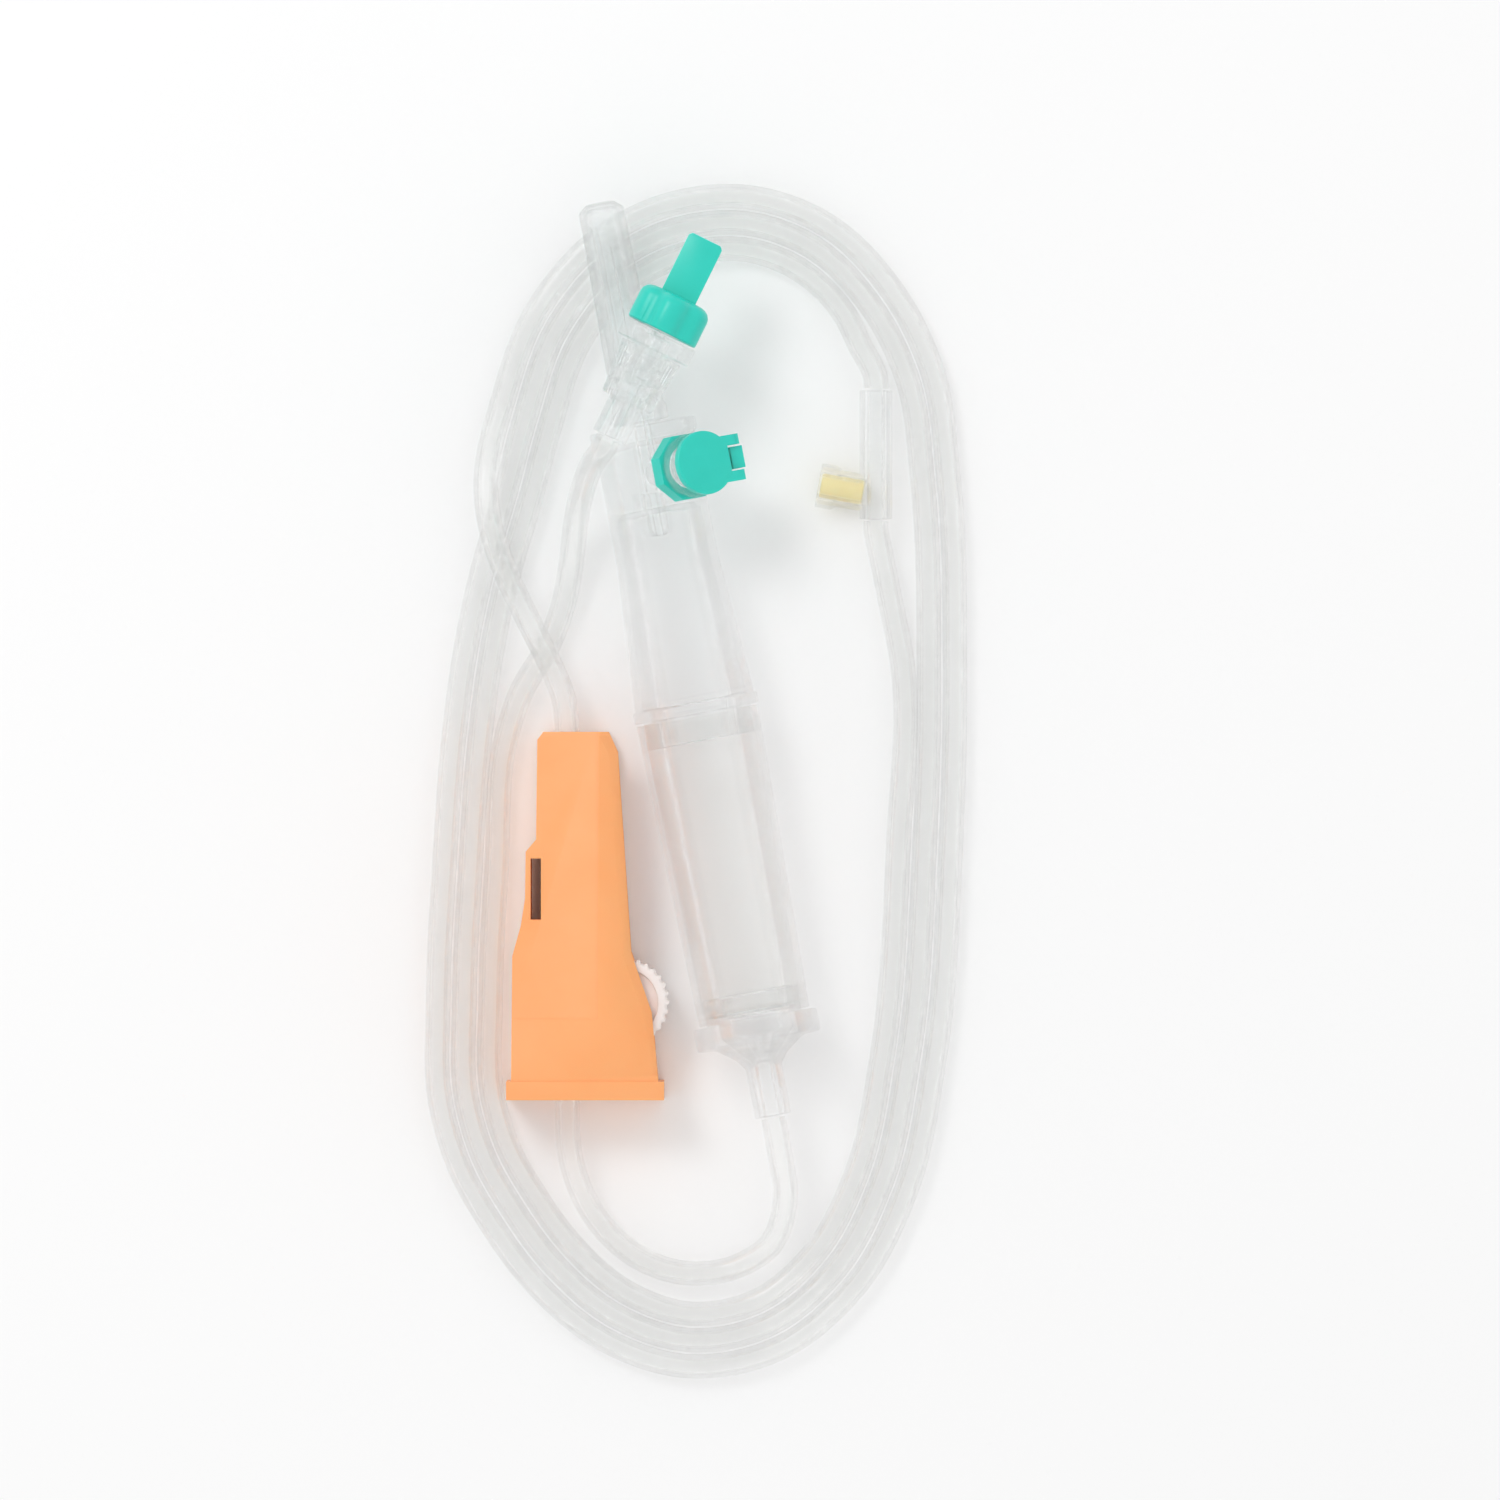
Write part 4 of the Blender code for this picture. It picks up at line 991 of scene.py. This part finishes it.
carve(
    site,
    "DIFFERENCE",
    rod("site_bore", TUBE_BORE, -SITE_DOWN - 1, SITE_UP + 1, 40, SITE),
    rod("plug_hole", PLUG_RADIUS + GAP, PLUG_LOW - GAP, BRANCH_LENGTH + 1, 40, BRANCH),
)
settled(site, "set", "clear_hard", "site_body")
site.data.materials.append(clear_hard)
plug_profile = ((0, PLUG_LOW), (PLUG_RADIUS, PLUG_LOW), (PLUG_RADIUS, PLUG_HIGH), (0, PLUG_HIGH))
septum = spun(
    "site_septum_plug",
    eased(plug_profile, 0.4),
    48,
    BRANCH,
    "set",
    "yellow_rubber",
    "site_septum",
)
# Moulded isoprene rubber is matt and a little translucent, with a faint bloom
rubber, tree, shader = plastic(
    "yellow_isoprene_rubber",
    {
        "Base Color": linear("#F6E7AE"),
        "Roughness": 0.6,
        "IOR": 1.52,
        "Subsurface Weight": 0.3,
        "Subsurface Radius": (1.0, 0.8, 0.4),
        "Subsurface Scale": 1.0 * MM,
    },
)
tinted(tree, shader, "#F3E2A4", "#F9EDBB", 2.0)
grain(tree, shader, 0.2, 0.02)
septum.data.materials.append(rubber)


# Male connector. A clear hard moulding on the end of the tubing: socket, neck for the
# collar to turn on, flange that holds the collar, and the standard conical nozzle.
luer_profile = (
    (1.0, LUER_END),
    (3.0, LUER_END),
    (3.0, 0),
    (2.6, 0),
    (2.6, 1.8),
    (3.3, 1.8),
    (3.3, 3.2),
    (2.0, 3.2),
    (1.8, 11.8),
    (1.0, 11.8),
)
luer = spun(
    "luer_connector_moulding",
    eased(luer_profile, 0.15),
    56,
    CONNECTOR,
    "set",
    "clear_hard",
    "luer_connector",
)
luer.data.materials.append(clear_hard)

# Locking collar. A clear tapered nut, ribbed along its length for the fingers
LOCK_LOW, LOCK_HIGH = 0.3, 9.5
RIBS = 36
RIB_DEPTH = 0.4
lock_outlines = (
    (LOCK_LOW, 4.2, 0.15),
    (LOCK_LOW + 0.3, 4.5, RIB_DEPTH),
    (LOCK_HIGH - 0.9, 5.15, RIB_DEPTH),
    (LOCK_HIGH - 0.8, 5.2, 0.02),
    (LOCK_HIGH - 0.15, 5.2, 0.02),
    (LOCK_HIGH, 5.05, 0.02),
)
lock_rings = [(height, toothed(radius, RIBS, depth, 8)) for height, radius, depth in lock_outlines]
lock = layered("lock_collar_nut", lock_rings, CONNECTOR)
carve(
    lock,
    "DIFFERENCE",
    rod("lock_mouth", 3.9, LOCK_LOW + 1.2, LOCK_HIGH + 1, 48, CONNECTOR),
    rod("lock_eye", 2.9, LOCK_LOW - 1, LOCK_LOW + 2, 48, CONNECTOR),
)
settled(lock, "lock_collar", "clear_hard", "lock_collar")
lock.data.materials.append(clear_hard)

# Two starts of thread line its mouth, each once round it
THREAD_RADIUS, THREAD_RISE = 3.85, 5.0
for count in range(2):
    thread_path = []
    for i in range(49):
        angle = math.pi * count + 2 * math.pi * i / 48
        x, y = THREAD_RADIUS * math.cos(angle), THREAD_RADIUS * math.sin(angle)
        thread_path.append(CONNECTOR @ (Vector((x, y, LOCK_LOW + 2.2 + THREAD_RISE * i / 48)) * MM))
    thread = hose(f"lock_thread_{count + 1}", thread_path, 0.3, 0, 8, "lock_collar", "clear_hard")
    thread.data.materials.append(clear_hard)

# End cap seat. The clear half of the cap: a broad disc with a spigot over the nozzle
seat_profile = (
    (2.3, 4.6),
    (3.3, 4.6),
    (3.3, 9.8),
    (6.4, 9.8),
    (6.4, 12.8),
    (1.0, 12.8),
    (1.0, 12.1),
    (2.3, 12.1),
)
seat = spun(
    "cap_seat_disc",
    eased(seat_profile, 0.35),
    ROUND_SIDES,
    CONNECTOR,
    "end_cap",
    "clear_hard",
    "cap_seat",
)
seat.data.materials.append(clear_hard)
cap_felt = spun(
    "cap_membrane_disc",
    eased(((0, 13.1), (3.1, 13.1), (3.1, 13.5), (0, 13.5)), 0.1),
    48,
    CONNECTOR,
    "end_cap",
    "filter_white",
    "cap_membrane",
)
cap_felt.data.materials.append(felt)

# End cap. The teal half: a lobed base to turn it by and a flat grip bar to pull it off
CAP_LOW, CAP_HIGH, BAR_HIGH = 13.1, 19.4, 29.8


def lobed(radius, lobes, depth, steps=18):
    # Full lobes with narrow hollows between them, one of them in line with the bar
    outline = []
    for i in range(lobes * steps):
        angle = 2 * math.pi * i / (lobes * steps)
        reach = radius + depth * (1 - 2 * abs(math.cos(lobes * angle / 2)) ** 4)
        outline.append((reach * math.cos(angle), reach * math.sin(angle)))
    return outline


CAP_LOBES = 6
cap_outlines = (
    (CAP_LOW, 5.8, 0.4),
    (CAP_LOW + 0.2, 6.0, 0.45),
    (CAP_HIGH - 1.7, 6.0, 0.45),
    (CAP_HIGH - 1.1, 5.85, 0.44),
    (CAP_HIGH - 0.6, 5.5, 0.42),
    (CAP_HIGH - 0.2, 4.9, 0.38),
    (CAP_HIGH, 4.2, 0.32),
)
cap_rings = [(height, lobed(radius, CAP_LOBES, depth)) for height, radius, depth in cap_outlines]
end_cap = layered("end_cap_grip", cap_rings, CONNECTOR)
bar_half, bar_half_thick, corner = 3.0, 1.1, 0.5
bar_outline = (
    (-bar_half, CAP_HIGH - 1),
    (bar_half, CAP_HIGH - 1),
    (bar_half, BAR_HIGH - corner),
    (bar_half - corner, BAR_HIGH),
    (corner - bar_half, BAR_HIGH),
    (-bar_half, BAR_HIGH - corner),
)
bar_at = CONNECTOR @ Matrix.Rotation(math.pi / 2, 4, "X")
bar_rings = ((-bar_half_thick, bar_outline), (bar_half_thick, bar_outline))
carve(end_cap, "UNION", layered("grip_bar", bar_rings, bar_at))
RECESS_RADIUS, RECESS_DEPTH = 3.4, 1.2
recess = rod("cap_recess", RECESS_RADIUS, CAP_LOW - 1, CAP_LOW + RECESS_DEPTH, 48, CONNECTOR)
carve(end_cap, "DIFFERENCE", recess)
softened(end_cap, 0.15, 2, 40)
settled(end_cap, "end_cap", "teal", "end_cap")
end_cap.data.materials.append(teal)


# Table and light. A plain white table top under a large soft light from the upper left,
# with a pale sky all round.
FLOOR_HALF = 3.0
FLOOR_DROP = 0.2 * MM
bm = bmesh.new()
bmesh.ops.create_grid(bm, x_segments=1, y_segments=1, size=FLOOR_HALF)
floor_mesh = bpy.data.meshes.new("table_top")
bm.to_mesh(floor_mesh)
bm.free()
floor = bpy.data.objects.new("table_top", floor_mesh)
floor.location.z = -FLOOR_DROP
scene.collection.objects.link(floor)
# White laminate, matt, so that it shows shadows and no reflections
table_white, tree, shader = plastic(
    "table_laminate", {"Base Color": linear("#FAFAFA"), "Roughness": 0.9, "Specular IOR Level": 0.1}
)
floor.data.materials.append(table_white)

SKY_STRENGTH = 0.86
KEY_POWER = 4.0
KEY_SIZE = 0.4
KEY_PLACE = (-0.55, 0.65, 1.1)
world = bpy.data.worlds.new("pale_sky")
world.use_nodes = True
world.node_tree.nodes["Background"].inputs["Color"].default_value = linear("#FFFFFF")
world.node_tree.nodes["Background"].inputs["Strength"].default_value = SKY_STRENGTH
scene.world = world
key_data = bpy.data.lights.new("key_panel", "AREA")
key_data.energy = KEY_POWER
key_data.size = KEY_SIZE
key = bpy.data.objects.new("key_panel", key_data)
key.location = KEY_PLACE
key.rotation_euler = (-Vector(KEY_PLACE)).to_track_quat("-Z", "Y").to_euler()
scene.collection.objects.link(key)

bpy.context.view_layer.update()
